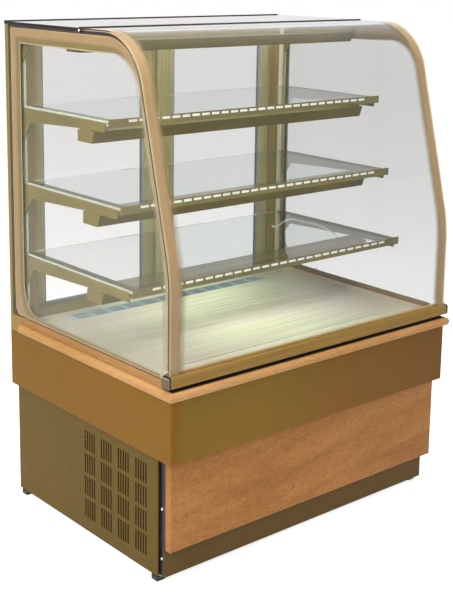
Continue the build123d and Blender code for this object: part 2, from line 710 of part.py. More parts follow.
def finned_coil(length, depth, height, fins, rows):
    """Heat exchanger about the origin: a row of fins on a core, with return bends at the ends."""
    core = Box(length, depth * 0.12, height * 0.94)
    pitch = length / (fins - 1)
    for number in range(fins):
        core += Pos(-length / 2 + number * pitch, 0, 0) * Box(2, depth, height)
    spacing = height * 0.8 / (rows - 1)
    reach, tube = spacing * 0.6, 8
    for row in range(rows - 1):
        low = -height * 0.4 + row * spacing - tube / 2
        high = low + spacing + tube
        end = length / 2 if row % 2 else -length / 2
        tip = end + reach if row % 2 else end - reach
        slope = tube if row % 2 else -tube
        bend = [(end, low), (tip - slope, low), (tip, low + tube), (tip, high - tube)]
        bend += [(tip - slope, high), (end, high), (end, high - tube), (tip - slope, high - tube)]
        bend += [(tip - slope, low + tube), (end, low + tube)]
        core += along_y(outline(bend), -tube / 2, tube / 2)
    return core


def condenser_coil():
    """Warm coil behind the left vents."""
    depth = COIL_X1 - COIL_X0
    coil = finned_coil(260, depth, 240, 18, 6)
    centre = Pos((COIL_X0 + COIL_X1) / 2, VENT_CENTRE_Y, VENT_CENTRE_Z)
    return centre * Rot(0, 0, 90) * coil


def condenser_shroud():
    """Fan plate with a bell mouth and a strap that holds the motor."""
    plate_x0 = -405
    x, y, z = FAN_CENTRE
    half = 135
    plate = block(plate_x0, plate_x0 + SHEET, y - half, y + half, z - 122, z + 122)
    ring_end = plate_x0 + 18
    mouth = FAN_RADIUS + 10
    ring = Pos(y, z) * RegularPolygon(mouth + 2, 36)
    plate += along_x(ring, plate_x0, ring_end)
    plate -= along_x(Pos(y, z) * RegularPolygon(mouth, 36), plate_x0, ring_end)
    strap_y = half - 6
    for side in (-1, 1):
        edge = y + side * strap_y
        plate += block(plate_x0, x + 2, min(edge, edge + 3 * side), max(edge, edge + 3 * side),
                       z - 14, z + 14)
    plate += block(x, x + 2, y - strap_y, y + strap_y, z - 14, z + 14)
    plate += block(plate_x0, plate_x0 + 20, y - 60, y + 60, FOOT_HEIGHT + 2, FOOT_HEIGHT + 4)
    plate += block(plate_x0, plate_x0 + SHEET, y - 60, y + 60, FOOT_HEIGHT + 2, z - 120)
    return plate - rod((0, y, z), 8, x - 1, x + 3, "x")


def fan(hub_radius, blade_radius, width, blades, tilt):
    """Axial fan about the Z axis: a bored hub with cambered blades that widen to their tips."""
    hub = along_z(RegularPolygon(hub_radius, 20), -width / 2, width / 2)
    root, tip, corner = hub_radius - 3, blade_radius - 4, blade_radius / 15
    root_half, tip_half = 0.9 * pi * root / blades, 0.5 * pi * blade_radius / blades
    camber, thick = tip_half / 6, 2
    line = [(-tip_half, 0), (-tip_half / 3, camber), (tip_half / 3, camber), (tip_half, 0)]
    section = outline(line + [(y, z - thick) for y, z in line[::-1]])
    plan = [(root, -root_half), (tip - corner, -tip_half), (tip, corner - tip_half)]
    plan += [(tip, tip_half - corner), (tip - corner, tip_half), (root, root_half)]
    blade = Rot(tilt, 0, 0) * (along_x(section, root, tip) & along_z(outline(plan), -width, width))
    for number in range(blades):
        hub += Rot(0, 0, 360 / blades * number) * blade
    return hub - Cylinder(SHAFT_RADIUS + SHAFT_CLEARANCE, width * 3)


def condenser_fan():
    """Fan that draws air through the condenser coil."""
    x, y, z = FAN_CENTRE
    blades = fan(24, FAN_RADIUS, 22, 5, 30)
    return Pos(x - 26, y, z) * Rot(0, 90, 0) * blades


def evaporator_fan():
    """Fan that blows through the cooler in the tub."""
    x, y, z = COLD_FAN_CENTRE
    blades = fan(16, COLD_FAN_RADIUS, 16, 5, 30)
    return Pos(x, y, z) * Rot(90, 0, 0) * blades


def fan_motors():
    """Condenser and evaporator fan motors with their shafts."""
    x, y, z = FAN_CENTRE
    warm = rod((0, y, z), 38, x + 2, x + 58, "x") + rod((0, y, z), SHAFT_RADIUS, x - 42, x + 2, "x")
    x, y, z = COLD_FAN_CENTRE
    front = y + 22
    cold = rod((x, 0, z), 26, front, front + 34, "y")
    cold += rod((x, 0, z), SHAFT_RADIUS, y - 12, front, "y")
    return [warm, cold]


def evaporator_shroud():
    """Cross wall in the well, with a fan mouth and a strap for the motor."""
    x, y, z = COLD_FAN_CENTRE
    plate_y = y - 14
    mouth = COLD_FAN_RADIUS + 5
    plate = block(-200, 200, plate_y, plate_y + SHEET, WELL_FLOOR + THIN, DECK - SHEET)
    plate -= rod((x, 0, z), mouth, plate_y - 1, plate_y + 3, "y")
    strap_x, rear = mouth + 6, y + 22
    for side in (-1, 1):
        edge = side * strap_x
        plate += block(min(edge, edge + 2 * side), max(edge, edge + 2 * side), plate_y, rear,
                       z - 10, z + 10)
    plate += block(-strap_x, strap_x, rear - 2, rear, z - 10, z + 10)
    return plate - rod((x, 0, z), 7, rear - 3, rear + 1, "y")


def evaporator_coil():
    """Cold coil on the floor of the well."""
    height = 100
    coil = finned_coil(640, 120, height, 20, 4)
    return Pos(0, 90, WELL_FLOOR + THIN + height / 2 + 4) * coil


def refrigerant_pipes():
    """Copper lines from the compressor and the condenser up to the cooler."""
    top = WELL_FLOOR + THIN + 40
    (suction_x, suction_y), (liquid_x, liquid_y) = PIPE_LINES
    suction = [(COMPRESSOR_X, COMPRESSOR_Y + 88, 150), (suction_x, suction_y, 150),
               (suction_x, suction_y, top)]
    liquid = [(-432, 18, 74), (-432, 250, 74), (liquid_x, 250, 74), (liquid_x, liquid_y, 74 + 60),
              (liquid_x, liquid_y, top)]
    pipes = []
    for route, bend in ((suction, [40]), (liquid, [50, 50, 30])):
        path = FilletPolyline(*route, radius=bend)
        start = Plane(origin=route[0], z_dir=Vector(*route[1]) - Vector(*route[0]))
        pipes.append(sweep(start * RegularPolygon(4, 8), path=path))
    return pipes


def control_panel():
    """Fascia with a thermostat window and a rocker opening, and the two modules behind it."""
    front = BASE_REAR + SHEET
    face = Rectangle(240, 76)
    fascia = Pos(CONTROL_X, CONTROL_Z) * (face - Pos(ROCKER_OFFSET, 0) * Rectangle(16, 24))
    plate = along_y(fascia, front, front + 2.5)
    plate += block(CONTROL_X - 95, CONTROL_X - 5, front + 2.5, front + 6, CONTROL_Z - 20, CONTROL_Z + 20)
    window = block(CONTROL_X - 85, CONTROL_X - 30, front + 5, front + 7, CONTROL_Z - 12, CONTROL_Z + 12)
    plate -= window
    module = block(CONTROL_X - 88, CONTROL_X - 12, front - 60, front, CONTROL_Z - 17, CONTROL_Z + 17)
    return [plate, module]


ROCKER_OFFSET = 70
ROCKER_Y = BASE_REAR + SHEET - 2
ROCKER_SWING = 14


def switch_housing():
    """Body of the rocker switch, clipped behind the fascia."""
    x = CONTROL_X + ROCKER_OFFSET
    front = BASE_REAR + SHEET
    body = block(x - 11, x + 11, front - 26, front, CONTROL_Z - 16, CONTROL_Z + 16)
    body -= block(x - 8, x + 8, front - 16, front, CONTROL_Z - 12, CONTROL_Z + 12)
    return body + rod((0, ROCKER_Y, CONTROL_Z), 1.5, x - 8, x + 8, "x")


def light_switch():
    """Rocker with a vee face, resting tilted to its off side."""
    x = CONTROL_X + ROCKER_OFFSET
    face = [(-6, -9), (8.2, -9.6), (6.6, 0), (8.2, 9.6), (-6, 9)]
    rocker = outline(face, [1, 1, 0, 1, 1]) - Circle(1.55)
    rocker = Pos(ROCKER_Y, CONTROL_Z) * Rot(0, 0, -ROCKER_SWING / 2) * rocker
    return along_x(rocker, x - 6.5, x + 6.5)


def power_gland():
    """Cable gland in the service sheet, with its locknut inside."""
    front = BASE_REAR + SHEET
    nut = RegularPolygon(11, 6)
    gland = extrude(nut, 6)
    gland += along_z(RegularPolygon(8, 16), -8, 0)
    gland += along_z(nut, -7.5, -SHEET)
    dome = [Pos(0, 0, 6) * RegularPolygon(10, 16), Pos(0, 0, 14) * RegularPolygon(6.5, 16)]
    gland += loft(dome, ruled=True)
    gland -= along_z(RegularPolygon(4, 12), -8, 14)
    return Pos(GLAND_X, front, GLAND_Z) * Rot(-90, 0, 0) * gland


def main():
    os.makedirs("parts", exist_ok=True)
    save("feet", *feet())
    save("base_tray", base_tray())
    left_panel = side_panel()
    save("side_panel_left", left_panel)
    save("side_panel_right", mirror(left_panel, about=Plane.YZ))
    save("rear_panel", rear_panel())
    save("kick_plate", kick_plate())
    save("oak_panel", oak_panel())
    save("front_uprights", *both_sides(front_upright()))
    save("belt_casing", belt_casing())
    save("tub_insulation", tub_insulation())
    save("tub_liner", tub_liner())
    save("deck_plate", deck_plate())
    save("front_air_grille", grille(FRONT_GRILLE, (7, 4), (12, 1), (66, 1)))
    save("rear_air_grille", grille(REAR_GRILLE, (42, 7), (56, 14), (12, 3)))
    save("trim_sides", *both_sides(trim_side()))
    save("trim_front", trim_front())
    save("side_sills", *both_sides(side_sill()))
    save("rear_corner_blocks", *both_sides(corner_block()))
    save("hinge_rail", hinge_rail())
    save("front_profile", front_profile())
    save("profile_caps", *both_sides(profile_cap()))
    save("front_glass", front_glass())
    for name, side in zip(("right", "left"), both_sides(side_glass())):
        save(f"side_glass_{name}", side)
    save("side_seals", *both_sides(side_seal()), *top_lips())
    save("top_glass", top_glass())
    save("rear_posts", *both_sides(rear_post()))
    save("rear_bottom_rail", rear_bottom_rail())
    save("rear_top_rail", rear_top_rail())
    doors = {
        "left": (-DOOR_OUTER, DOOR_OVERLAP, REAR_TRACK_Y, -DOOR_OUTER + 33),
        "right": (-DOOR_OVERLAP, DOOR_OUTER, FRONT_TRACK_Y, DOOR_OUTER - 33),
    }
    for name, (start, end, track, pull) in doors.items():
        save(f"door_{name}_frame", door_frame(start, end, track, pull))
        save(f"door_{name}_glass", door_glass(start, end, track))
        save(f"door_{name}_glides", *door_glides(start, end, track))
    save("shelf_uprights", *both_sides(shelf_upright()))
    arms = [bracket_arm(*place) for place in zip(SHELF_LEVELS, SHELF_FACES, LAMP_FACES)]
    arms.append(lamp_bracket())
    save("shelf_brackets_right", *arms)
    save("shelf_brackets_left", *[mirror(arm, about=Plane.YZ) for arm in arms])
    for number, (level, face) in enumerate(zip(SHELF_LEVELS, SHELF_FACES), 1):
        save(f"shelf_{number}_glass", shelf_glass(level, face))
        save(f"shelf_{number}_rail", shelf_rail(level, face))
    lamps = [(face, level - LAMP_DROP) for face, level in zip(LAMP_FACES, SHELF_LEVELS)]
    lamps.append((TOP_LAMP_FACE, TOP_LAMP_TOP))
    save("lamp_housings", *[lamp_housing(*place) for place in lamps])
    save("lamp_tubes", *[lamp_tube(*place) for place in lamps])
    save("lamp_lead", cable(LEAD_ROUTE, LEAD_RADIUS))
    save("compressor", compressor())
    save("condenser_coil", condenser_coil())
    save("condenser_shroud", condenser_shroud())
    save("condenser_fan", condenser_fan())
    save("fan_motors", *fan_motors())
    save("evaporator_coil", evaporator_coil())
    save("evaporator_shroud", evaporator_shroud())
    save("evaporator_fan", evaporator_fan())
    save("refrigerant_pipes", *refrigerant_pipes())
    save("control_panel", *control_panel())
    save("switch_housing", switch_housing())
    save("light_switch", light_switch())
    save("power_gland", power_gland())


main()
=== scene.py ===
from math import cos, radians, sin

import bpy
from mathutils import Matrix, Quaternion, Vector


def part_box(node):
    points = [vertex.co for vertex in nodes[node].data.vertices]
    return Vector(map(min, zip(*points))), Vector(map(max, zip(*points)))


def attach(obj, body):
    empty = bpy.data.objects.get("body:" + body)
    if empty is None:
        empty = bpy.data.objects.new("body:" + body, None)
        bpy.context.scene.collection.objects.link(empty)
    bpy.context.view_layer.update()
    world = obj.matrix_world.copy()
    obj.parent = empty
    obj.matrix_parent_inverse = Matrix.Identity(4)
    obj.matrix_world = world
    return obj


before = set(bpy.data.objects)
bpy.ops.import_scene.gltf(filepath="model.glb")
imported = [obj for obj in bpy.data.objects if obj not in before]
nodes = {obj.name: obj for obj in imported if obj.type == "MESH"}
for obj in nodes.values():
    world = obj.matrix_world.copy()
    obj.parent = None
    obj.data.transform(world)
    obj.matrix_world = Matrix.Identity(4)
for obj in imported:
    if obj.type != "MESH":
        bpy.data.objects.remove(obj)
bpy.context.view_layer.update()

# The photographer stands to the customer's left, just above the top glass, and looks a little
# down. A small lens shift keeps the uprights close to vertical, as in the photograph.
PICTURE_HEIGHT = 596
EYE = Vector((-2.0160, -2.3279, 1.4440))
YAW, PITCH, ROLL = 0.7043, -0.1929, 0.0139
LENS_PIXELS = 1178.8
CENTRE_RIGHT, CENTRE_DOWN = 4.3, -105
SENSOR = 36
bpy.ops.object.camera_add(location=EYE)
camera = bpy.context.object
forward = Vector((sin(YAW) * cos(PITCH), cos(YAW) * cos(PITCH), sin(PITCH)))
camera.rotation_mode = "QUATERNION"
camera.rotation_quaternion = forward.to_track_quat("-Z", "Y") @ Quaternion((0, 0, 1), ROLL)
camera.data.sensor_width = SENSOR
camera.data.lens = LENS_PIXELS * SENSOR / PICTURE_HEIGHT
camera.data.shift_x = CENTRE_RIGHT / PICTURE_HEIGHT
camera.data.shift_y = CENTRE_DOWN / PICTURE_HEIGHT
bpy.context.scene.camera = camera
bpy.context.scene.view_settings.view_transform = "Standard"


# The case stands on a plain white sheet that keeps its shadow. To the camera the sheet is a
# little lifted, so that it meets the white surroundings with no edge.
def shader_of(made):
    """The main shader of a material."""
    return made.node_tree.nodes["Principled BSDF"]


def material(name, colour, roughness, metallic=0.0, specular=0.5):
    """A new material, which shows one colour until a pattern is joined to its shader."""
    made = bpy.data.materials.new(name)
    made.use_nodes = True
    shader = shader_of(made)
    shader.inputs["Base Color"].default_value = (*colour, 1)
    shader.inputs["Roughness"].default_value = roughness
    shader.inputs["Metallic"].default_value = metallic
    shader.inputs["Specular IOR Level"].default_value = specular
    return made


def add(made, kind, **values):
    """A node of a material, with its options and plain inputs set by name."""
    node = made.node_tree.nodes.new("ShaderNode" + kind)
    for name, value in values.items():
        label = name.replace("_", " ").title()
        if label in node.inputs:
            node.inputs[label].default_value = value
        else:
            setattr(node, name, value)
    return node


def link(made, source, target):
    """Joins two sockets."""
    made.node_tree.links.new(source, target)


def seen_rays(tree):
    """Joins the rays that should meet plain white: the camera's, mirrored and refracted ones."""
    path = tree.nodes.new("ShaderNodeLightPath")
    total = path.outputs["Is Camera Ray"]
    for name in ("Is Glossy Ray", "Is Transmission Ray"):
        sum_node = tree.nodes.new("ShaderNodeMath")
        sum_node.operation = "ADD"
        sum_node.use_clamp = True
        tree.links.new(total, sum_node.inputs[0])
        tree.links.new(path.outputs[name], sum_node.inputs[1])
        total = sum_node.outputs[0]
    return total


FLOOR_SIZE = 40
FLOOR_LIFT = 0.68
bpy.ops.object.select_all(action="DESELECT")
bpy.ops.mesh.primitive_plane_add(size=FLOOR_SIZE)
floor = bpy.context.object
floor.name = "floor"
floor_sheet = material("floor_sheet", (0.80, 0.80, 0.80), 0.9, specular=0)
shader_of(floor_sheet).inputs["Emission Color"].default_value = (1, 1, 1, 1)
lift = add(floor_sheet, "Math", operation="MULTIPLY")
link(floor_sheet, seen_rays(floor_sheet.node_tree), lift.inputs[0])
lift.inputs[1].default_value = FLOOR_LIFT
link(floor_sheet, lift.outputs[0], shader_of(floor_sheet).inputs["Emission Strength"])
floor.data.materials.append(floor_sheet)

# Plain white surroundings light the case from all round, and large soft lamps at the left,
# front and top give its faces their different brightness.
AMBIENT = 0.44
world = bpy.data.worlds.new("white_room")
bpy.context.scene.world = world
world.use_nodes = True
room = world.node_tree
ambient = room.nodes["Background"]
ambient.inputs["Color"].default_value = (1.0, 0.985, 0.965, 1)
ambient.inputs["Strength"].default_value = AMBIENT
backdrop = room.nodes.new("ShaderNodeBackground")
backdrop.inputs["Color"].default_value = (1, 1, 1, 1)
backdrop.inputs["Strength"].default_value = 1.0
choice = room.nodes.new("ShaderNodeMixShader")
room.links.new(seen_rays(room), choice.inputs[0])
room.links.new(ambient.outputs[0], choice.inputs[1])
room.links.new(backdrop.outputs[0], choice.inputs[2])
room.links.new(choice.outputs[0], room.nodes["World Output"].inputs["Surface"])


def soft_lamp(name, place, target, size, power, colour=(1, 1, 1)):
    """A square lamp that faces a point of the case."""
    bpy.ops.object.light_add(type="AREA", location=place)
    lamp = bpy.context.object
    lamp.name = name
    lamp.data.size = size
    lamp.data.energy = power
    lamp.data.color = colour
    aim = Vector(target) - Vector(place)
    lamp.rotation_euler = aim.to_track_quat("-Z", "Y").to_euler()


soft_lamp("left_lamp", (-3.6, -0.9, 3.0), (0, 0, 0.6), 1.5, 135, (1, 0.97, 0.92))
soft_lamp("front_lamp", (-1.5, -3.0, 2.8), (0, 0, 0.6), 1.4, 42)
soft_lamp("top_lamp", (0.1, -0.3, 4.2), (0, 0, 0.8), 1.8, 78)


# Feet: square black plastic pads on a narrower neck, moulded with a fine spark-eroded grain and
# pressed into the corners of the tray.
def wear(made, *names):
    """Gives CAD nodes a material in their own slots."""
    for name in names:
        for place in nodes[name].material_slots:
            place.material = made


def noise(made, scale, drawn=(1, 1, 1), detail=2.0, shift=(0, 0, 0), slant=0.0, swirl=0.0):
    """Noise on object coordinates, drawn out along the axes and slanted in the front view."""
    place = add(made, "TexCoord")
    mapping = add(made, "Mapping", vector_type="TEXTURE")
    mapping.inputs["Location"].default_value = shift
    mapping.inputs["Rotation"].default_value = (0, radians(slant), 0)
    mapping.inputs["Scale"].default_value = drawn
    texture = add(made, "TexNoise", scale=scale, detail=detail, distortion=swirl)
    link(made, place.outputs["Object"], mapping.inputs["Vector"])
    link(made, mapping.outputs["Vector"], texture.inputs["Vector"])
    return texture.outputs["Fac"]


def tones(made, factor, *stops):
    """A colour ramp over a pattern, with stops of a place and a colour."""
    ramp = add(made, "ValToRGB")
    line = ramp.color_ramp
    while len(line.elements) < len(stops):
        line.elements.new(0.5)
    for element, (place, colour) in zip(line.elements, stops):
        element.position = place
        element.color = (*colour, 1)
    link(made, factor, ramp.inputs["Fac"])
    return ramp.outputs["Color"]


def coat(made, factor, *stops):
    """Colours a material by a pattern."""
    link(made, tones(made, factor, *stops), shader_of(made).inputs["Base Color"])


def remap(made, value, start, end, low=0.0, high=1.0, **options):
    """Maps one range of a value onto another."""
    node = add(made, "MapRange", from_min=start, from_max=end, to_min=low, to_max=high, **options)
    link(made, value, node.inputs["Value"])
    return node.outputs["Result"]


def gloss(made, factor, low, high):
    """Lets the roughness follow the middle range of a pattern."""
    link(made, remap(made, factor, 0.3, 0.7, low, high), shader_of(made).inputs["Roughness"])


def relief(made, factor, strength, depth):
    """A fine surface relief from a pattern."""
    node = add(made, "Bump", strength=strength, distance=depth)
    link(made, factor, node.inputs["Height"])
    link(made, node.outputs["Normal"], shader_of(made).inputs["Normal"])


def moulded(name, colour, roughness=0.5, grain=1500):
    """Moulded plastic with a fine grain and faint scuffs."""
    made = material(name, colour, roughness, specular=0.4)
    scuffed = [min(1, 1.3 * part + 0.002) for part in colour]
    coat(made, noise(made, 25, detail=4), (0.45, colour), (0.8, scuffed))
    gloss(made, noise(made, 60), roughness - 0.05, roughness + 0.08)
    relief(made, noise(made, grain), 0.15, 0.0001)
    return made


black_plastic = moulded("black_plastic", (0.012, 0.012, 0.013))
wear(black_plastic, "feet")


# Base tray and fan plate: sheet steel with the crystal spangle of hot-dipped zinc. Both are
# folded on a press and left bare of paint.
def galvanised(name):
    """Zinc-coated steel with a spangle of flat crystals."""
    made = material(name, (0.42, 0.43, 0.44), 0.45, metallic=0.8)
    place = add(made, "TexCoord")
    crystals = add(made, "TexVoronoi", scale=60.0)
    link(made, place.outputs["Object"], crystals.inputs["Vector"])
    grey = add(made, "RGBToBW")
    link(made, crystals.outputs["Color"], grey.inputs["Color"])
    coat(made, grey.outputs["Val"], (0.2, (0.36, 0.37, 0.38)), (0.8, (0.50, 0.51, 0.52)))
    gloss(made, grey.outputs["Val"], 0.35, 0.55)
    return made


wear(galvanised("zinc_sheet"), "base_tray", "condenser_shroud")

# Cooling machinery: a black enamelled compressor pot, aluminium fins on copper lines, and
# plastic fans on grey painted motors. It is bolted to the tray behind the left vents.
enamel = material("compressor_enamel", (0.014, 0.014, 0.016), 0.35)
coat(enamel, noise(enamel, 14, detail=4), (0.4, (0.012, 0.012, 0.014)), (0.75, (0.026, 0.025, 0.025)))
relief(enamel, noise(enamel, 250), 0.15, 0.0004)
wear(enamel, "compressor")
fins = material("coil_fins", (0.60, 0.61, 0.62), 0.35, metallic=0.95)
coat(fins, noise(fins, 90, (1, 1, 6)), (0.35, (0.48, 0.49, 0.50)), (0.65, (0.66, 0.67, 0.68)))
relief(fins, noise(fins, 400, (1, 1, 10)), 0.3, 0.0005)
wear(fins, "condenser_coil", "evaporator_coil")
copper = material("copper_line", (0.60, 0.30, 0.17), 0.28, metallic=1.0)
coat(copper, noise(copper, 12), (0.35, (0.45, 0.21, 0.11)), (0.65, (0.66, 0.35, 0.20)))
gloss(copper, noise(copper, 40), 0.22, 0.42)
wear(copper, "refrigerant_pipes")
wear(moulded("fan_plastic", (0.05, 0.05, 0.055)), "condenser_fan", "evaporator_fan")
motor_paint = material("motor_paint", (0.20, 0.21, 0.22), 0.5, metallic=0.3)
coat(motor_paint, noise(motor_paint, 18, detail=4), (0.4, (0.17, 0.18, 0.19)),
     (0.65, (0.23, 0.24, 0.25)))
relief(motor_paint, noise(motor_paint, 300), 0.1, 0.0003)
wear(motor_paint, "fan_motors")


# Vent filters: black pleated mats that keep dust off the coil; their black is also painted
# shade inside the vents. Each slides down between the side panel and the machinery, so the
# vents look dark from outside.
def fresh(kind, **values):
    """A new mesh primitive, alone in the selection."""
    bpy.ops.object.select_all(action="DESELECT")
    getattr(bpy.ops.mesh, f"primitive_{kind}_add")(**values)
    return bpy.context.object


def apply(piece, kind, **values):
    """Adds a modifier to a piece and applies it."""
    added = piece.modifiers.new(kind.lower(), kind)
    for name, value in values.items():
        setattr(added, name, value)
    bpy.context.view_layer.objects.active = piece
    bpy.ops.object.modifier_apply(modifier=added.name)


def settle(piece, name, body, finish):
    """Names a finished piece, moves its place into its mesh, and says what it is part of."""
    bpy.ops.object.select_all(action="DESELECT")
    piece.select_set(True)
    bpy.context.view_layer.objects.active = piece
    bpy.ops.object.transform_apply(location=True, rotation=True, scale=True)
    piece.name = name
    piece.data.materials.clear()
    piece.data.materials.append(finish)
    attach(piece, body)


SIDES = ((-1, "left"), (1, "right"))
MAT_X, MAT_DEPTH, MAT_PLEATS, MAT_SKIN = 0.4598, 0.0022, 56, 0.0006
MAT_LENGTH, MAT_HEIGHT, MAT_MIDDLE = 0.268, 0.250, (-0.110, 0.171)
# The mats' near-black stands in for the shade inside the vents: painted shade.
filter_shade_mat = material("filter_shade_mat", (0.010, 0.009, 0.008), 0.9, specular=0.1)
coat(filter_shade_mat, noise(filter_shade_mat, 300, detail=3), (0.4, (0.008, 0.007, 0.006)),
     (0.7, (0.026, 0.022, 0.018)))
relief(filter_shade_mat, noise(filter_shade_mat, 1500), 0.6, 0.0006)
for side, side_name in SIDES:
    mat = fresh("grid", x_subdivisions=MAT_PLEATS, y_subdivisions=1, size=1,
                location=(side * MAT_X, *MAT_MIDDLE), rotation=(radians(90), 0, radians(90)))
    mat.scale = (MAT_LENGTH, MAT_HEIGHT, 1)
    for vertex in mat.data.vertices:
        pleat = round((vertex.co.x + 0.5) * MAT_PLEATS)
        vertex.co.z = -side * MAT_DEPTH * (pleat % 2)
    settle(mat, f"vent_filter_shade_{side_name}", "cabinet", filter_shade_mat)
    apply(mat, "SOLIDIFY", thickness=MAT_SKIN, offset=0)


# Side panels and rear service panel: folded steel sheets under a satin paint in old gold, with
# a faint orange peel. The paint is more olive here than on the belt.
def over(made, base, layer, amount):
    """Multiplies one colour pattern by another."""
    blend = add(made, "Mix", data_type="RGBA", blend_type="MULTIPLY")
    blend.inputs["Factor"].default_value = amount
    link(made, base, blend.inputs["A"])
    link(made, layer, blend.inputs["B"])
    return blend.outputs["Result"]


def gold_paint(name, low, high, roughness=0.5, drift=1.6):
    """Old-gold satin paint that drifts between two close tones, with a fine fleck."""
    made = material(name, low, roughness, specular=0.12)
    patches = tones(made, noise(made, drift, detail=2), (0.38, low), (0.62, high))
    flecks = tones(made, noise(made, 600, detail=1), (0.35, (0.88, 0.88, 0.88)), (0.65, (1, 1, 1)))
    link(made, over(made, patches, flecks, 0.6), shader_of(made).inputs["Base Color"])
    gloss(made, noise(made, 30), roughness - 0.05, roughness + 0.05)
    relief(made, noise(made, 900), 0.1, 0.0002)
    return made


PANEL_OLIVE, PANEL_GOLD = (0.110, 0.069, 0.008), (0.126, 0.075, 0.008)
panel_paint = gold_paint("panel_paint", PANEL_OLIVE, PANEL_GOLD)
wear(panel_paint, "side_panel_left", "side_panel_right", "rear_panel")

# Black corner uprights: folded steel posts behind the ends of the oak board, in black enamel.
# Two bright socket screws hold each to the tray and the tub.
upright_enamel = moulded("upright_enamel", (0.010, 0.010, 0.011), 0.4)
wear(upright_enamel, "front_uprights")


def edit(piece, test):
    """Opens a piece for editing, with the faces that pass a test selected."""
    bpy.context.view_layer.objects.active = piece
    bpy.ops.object.mode_set(mode="EDIT")
    bpy.ops.mesh.select_mode(type="FACE")
    bpy.ops.mesh.select_all(action="DESELECT")
    bpy.ops.object.mode_set(mode="OBJECT")
    for face in piece.data.polygons:
        face.select = test(face)
    bpy.ops.object.mode_set(mode="EDIT")


def faces_up(face):
    """Whether a face is a flat top."""
    return face.normal.z > 0.9


RING_SHARE, DOME_SHARE, SOCKET_SHARE, EASE_SHARE = 0.3, 0.25, 0.7, 0.08


def socket_screw(radius, height):
    """A button-head screw: a domed disc with a sunk socket, standing on the origin."""
    head = fresh("cylinder", vertices=24, radius=radius, depth=height, location=(0, 0, height / 2))
    bpy.ops.object.transform_apply(location=True)
    edit(head, faces_up)
    bpy.ops.mesh.inset(thickness=radius * RING_SHARE)
    bpy.ops.transform.translate(value=(0, 0, height * DOME_SHARE))
    bpy.ops.mesh.inset(thickness=radius * RING_SHARE)
    sunk = (0, 0, -height * SOCKET_SHARE)
    bpy.ops.mesh.extrude_region_move(TRANSFORM_OT_translate={"value": sunk})
    bpy.ops.object.mode_set(mode="OBJECT")
    apply(head, "BEVEL", width=radius * EASE_SHARE, segments=2, limit_method="ANGLE", angle_limit=0.6)
    bpy.ops.object.shade_smooth_by_angle(angle=radians(35))
    return head


def repeat(pattern, name, place, turn, finish):
    """Fixes a copy of a small piece, with a mesh of its own, to the cabinet."""
    twin = pattern.copy()
    twin.data = pattern.data.copy()
    bpy.context.collection.objects.link(twin)
    twin.location = place
    twin.rotation_euler = turn
    settle(twin, name, "cabinet", finish)


SCREW_Y, SCREW_LEVELS, WEB_X = -0.2925, (0.190, 0.064), 0.4565
WEB_SCREW_RADIUS, WEB_SCREW_HEIGHT = 0.0036, 0.0016
bright_steel = material("bright_steel", (0.80, 0.80, 0.78), 0.25, metallic=0.9)
gloss(bright_steel, noise(bright_steel, 900), 0.18, 0.35)
web_screw = socket_screw(WEB_SCREW_RADIUS, WEB_SCREW_HEIGHT)
for side, side_name in SIDES:
    for number, level in enumerate(SCREW_LEVELS, 1):
        repeat(web_screw, f"upright_screw_{side_name}_{number}", (side * WEB_X, SCREW_Y, level),
               (0, side * radians(90), 0), bright_steel)
bpy.data.objects.remove(web_screw)

# Rear service panel: it is held by eight button screws round its edge, so that the machinery
# can be reached. The mains gland sits at its lower corner.
PANEL_REAR, PANEL_SCREW_RADIUS, PANEL_SCREW_HEIGHT = 0.342, 0.0045, 0.002
PANEL_SCREWS = [(x, z) for x in (-0.445, -0.15, 0.15, 0.445) for z in (0.034, 0.302)]
TO_THE_REAR = (radians(-90), 0, 0)
panel_screw = socket_screw(PANEL_SCREW_RADIUS, PANEL_SCREW_HEIGHT)
for number, (x, z) in enumerate(PANEL_SCREWS, 1):
    repeat(panel_screw, f"panel_screw_{number}", (x, PANEL_REAR, z), TO_THE_REAR,
           bright_steel)
wear(black_plastic, "power_gland")


# Control fascia: a dark grey moulding with a smoked window over the display, four blank keys
# beside it, and a rocker switch for the lamps. It is fixed with a screw at each end.
def block(place, extent, ease=0, segments=2):
    """A solid bar at its place, with its edges rounded where an ease is given."""
    bar = fresh("cube", size=1, location=place)
    bar.scale = extent
    bpy.ops.object.transform_apply(location=True, rotation=True, scale=True)
    if ease:
        apply(bar, "BEVEL", width=ease, segments=segments)
    return bar


FASCIA_FACE, MODULE_FACE, WINDOW_FLOOR = 0.3445, 0.3480, 0.3470
CONTROL_X, CONTROL_Z, FASCIA_SCREW_X = 0.300, 0.262, 0.108
WINDOW_SHIFT, WINDOW_SIZE, WINDOW_EASE = 0.0575, (0.0540, 0.0014, 0.0230), 0.0005
KEY_SIZE, KEY_RIM, KEY_RISE, KEY_EASE = (0.0090, 0.0065, 0.0012), 0.0010, 0.0005, 0.0004
KEY_PLACES = [(x, z) for x in (-0.0235, -0.0115) for z in (0.0075, -0.0075)]
wear(moulded("fascia_plastic", (0.085, 0.085, 0.09), 0.45), "control_panel")
wear(black_plastic, "switch_housing")
wear(moulded("rocker_plastic", (0.010, 0.010, 0.011), 0.3), "light_switch")
smoked = material("smoked_window", (0.012, 0.006, 0.005), 0.08)
gloss(smoked, noise(smoked, 80, detail=4), 0.04, 0.16)
shader_of(smoked).inputs["Coat Weight"].default_value = 0.5
window = block((CONTROL_X - WINDOW_SHIFT, WINDOW_FLOOR + WINDOW_SIZE[1] / 2, CONTROL_Z), WINDOW_SIZE,
               WINDOW_EASE)
settle(window, "display_window", "cabinet", smoked)
key = block((0, 0, KEY_SIZE[2] / 2), KEY_SIZE)
edit(key, faces_up)
bpy.ops.mesh.inset(thickness=KEY_RIM)
bpy.ops.transform.translate(value=(0, 0, KEY_RISE))
bpy.ops.object.mode_set(mode="OBJECT")
apply(key, "BEVEL", width=KEY_EASE, segments=2)
key_rubber = moulded("key_rubber", (0.16, 0.16, 0.17), 0.6, 900)
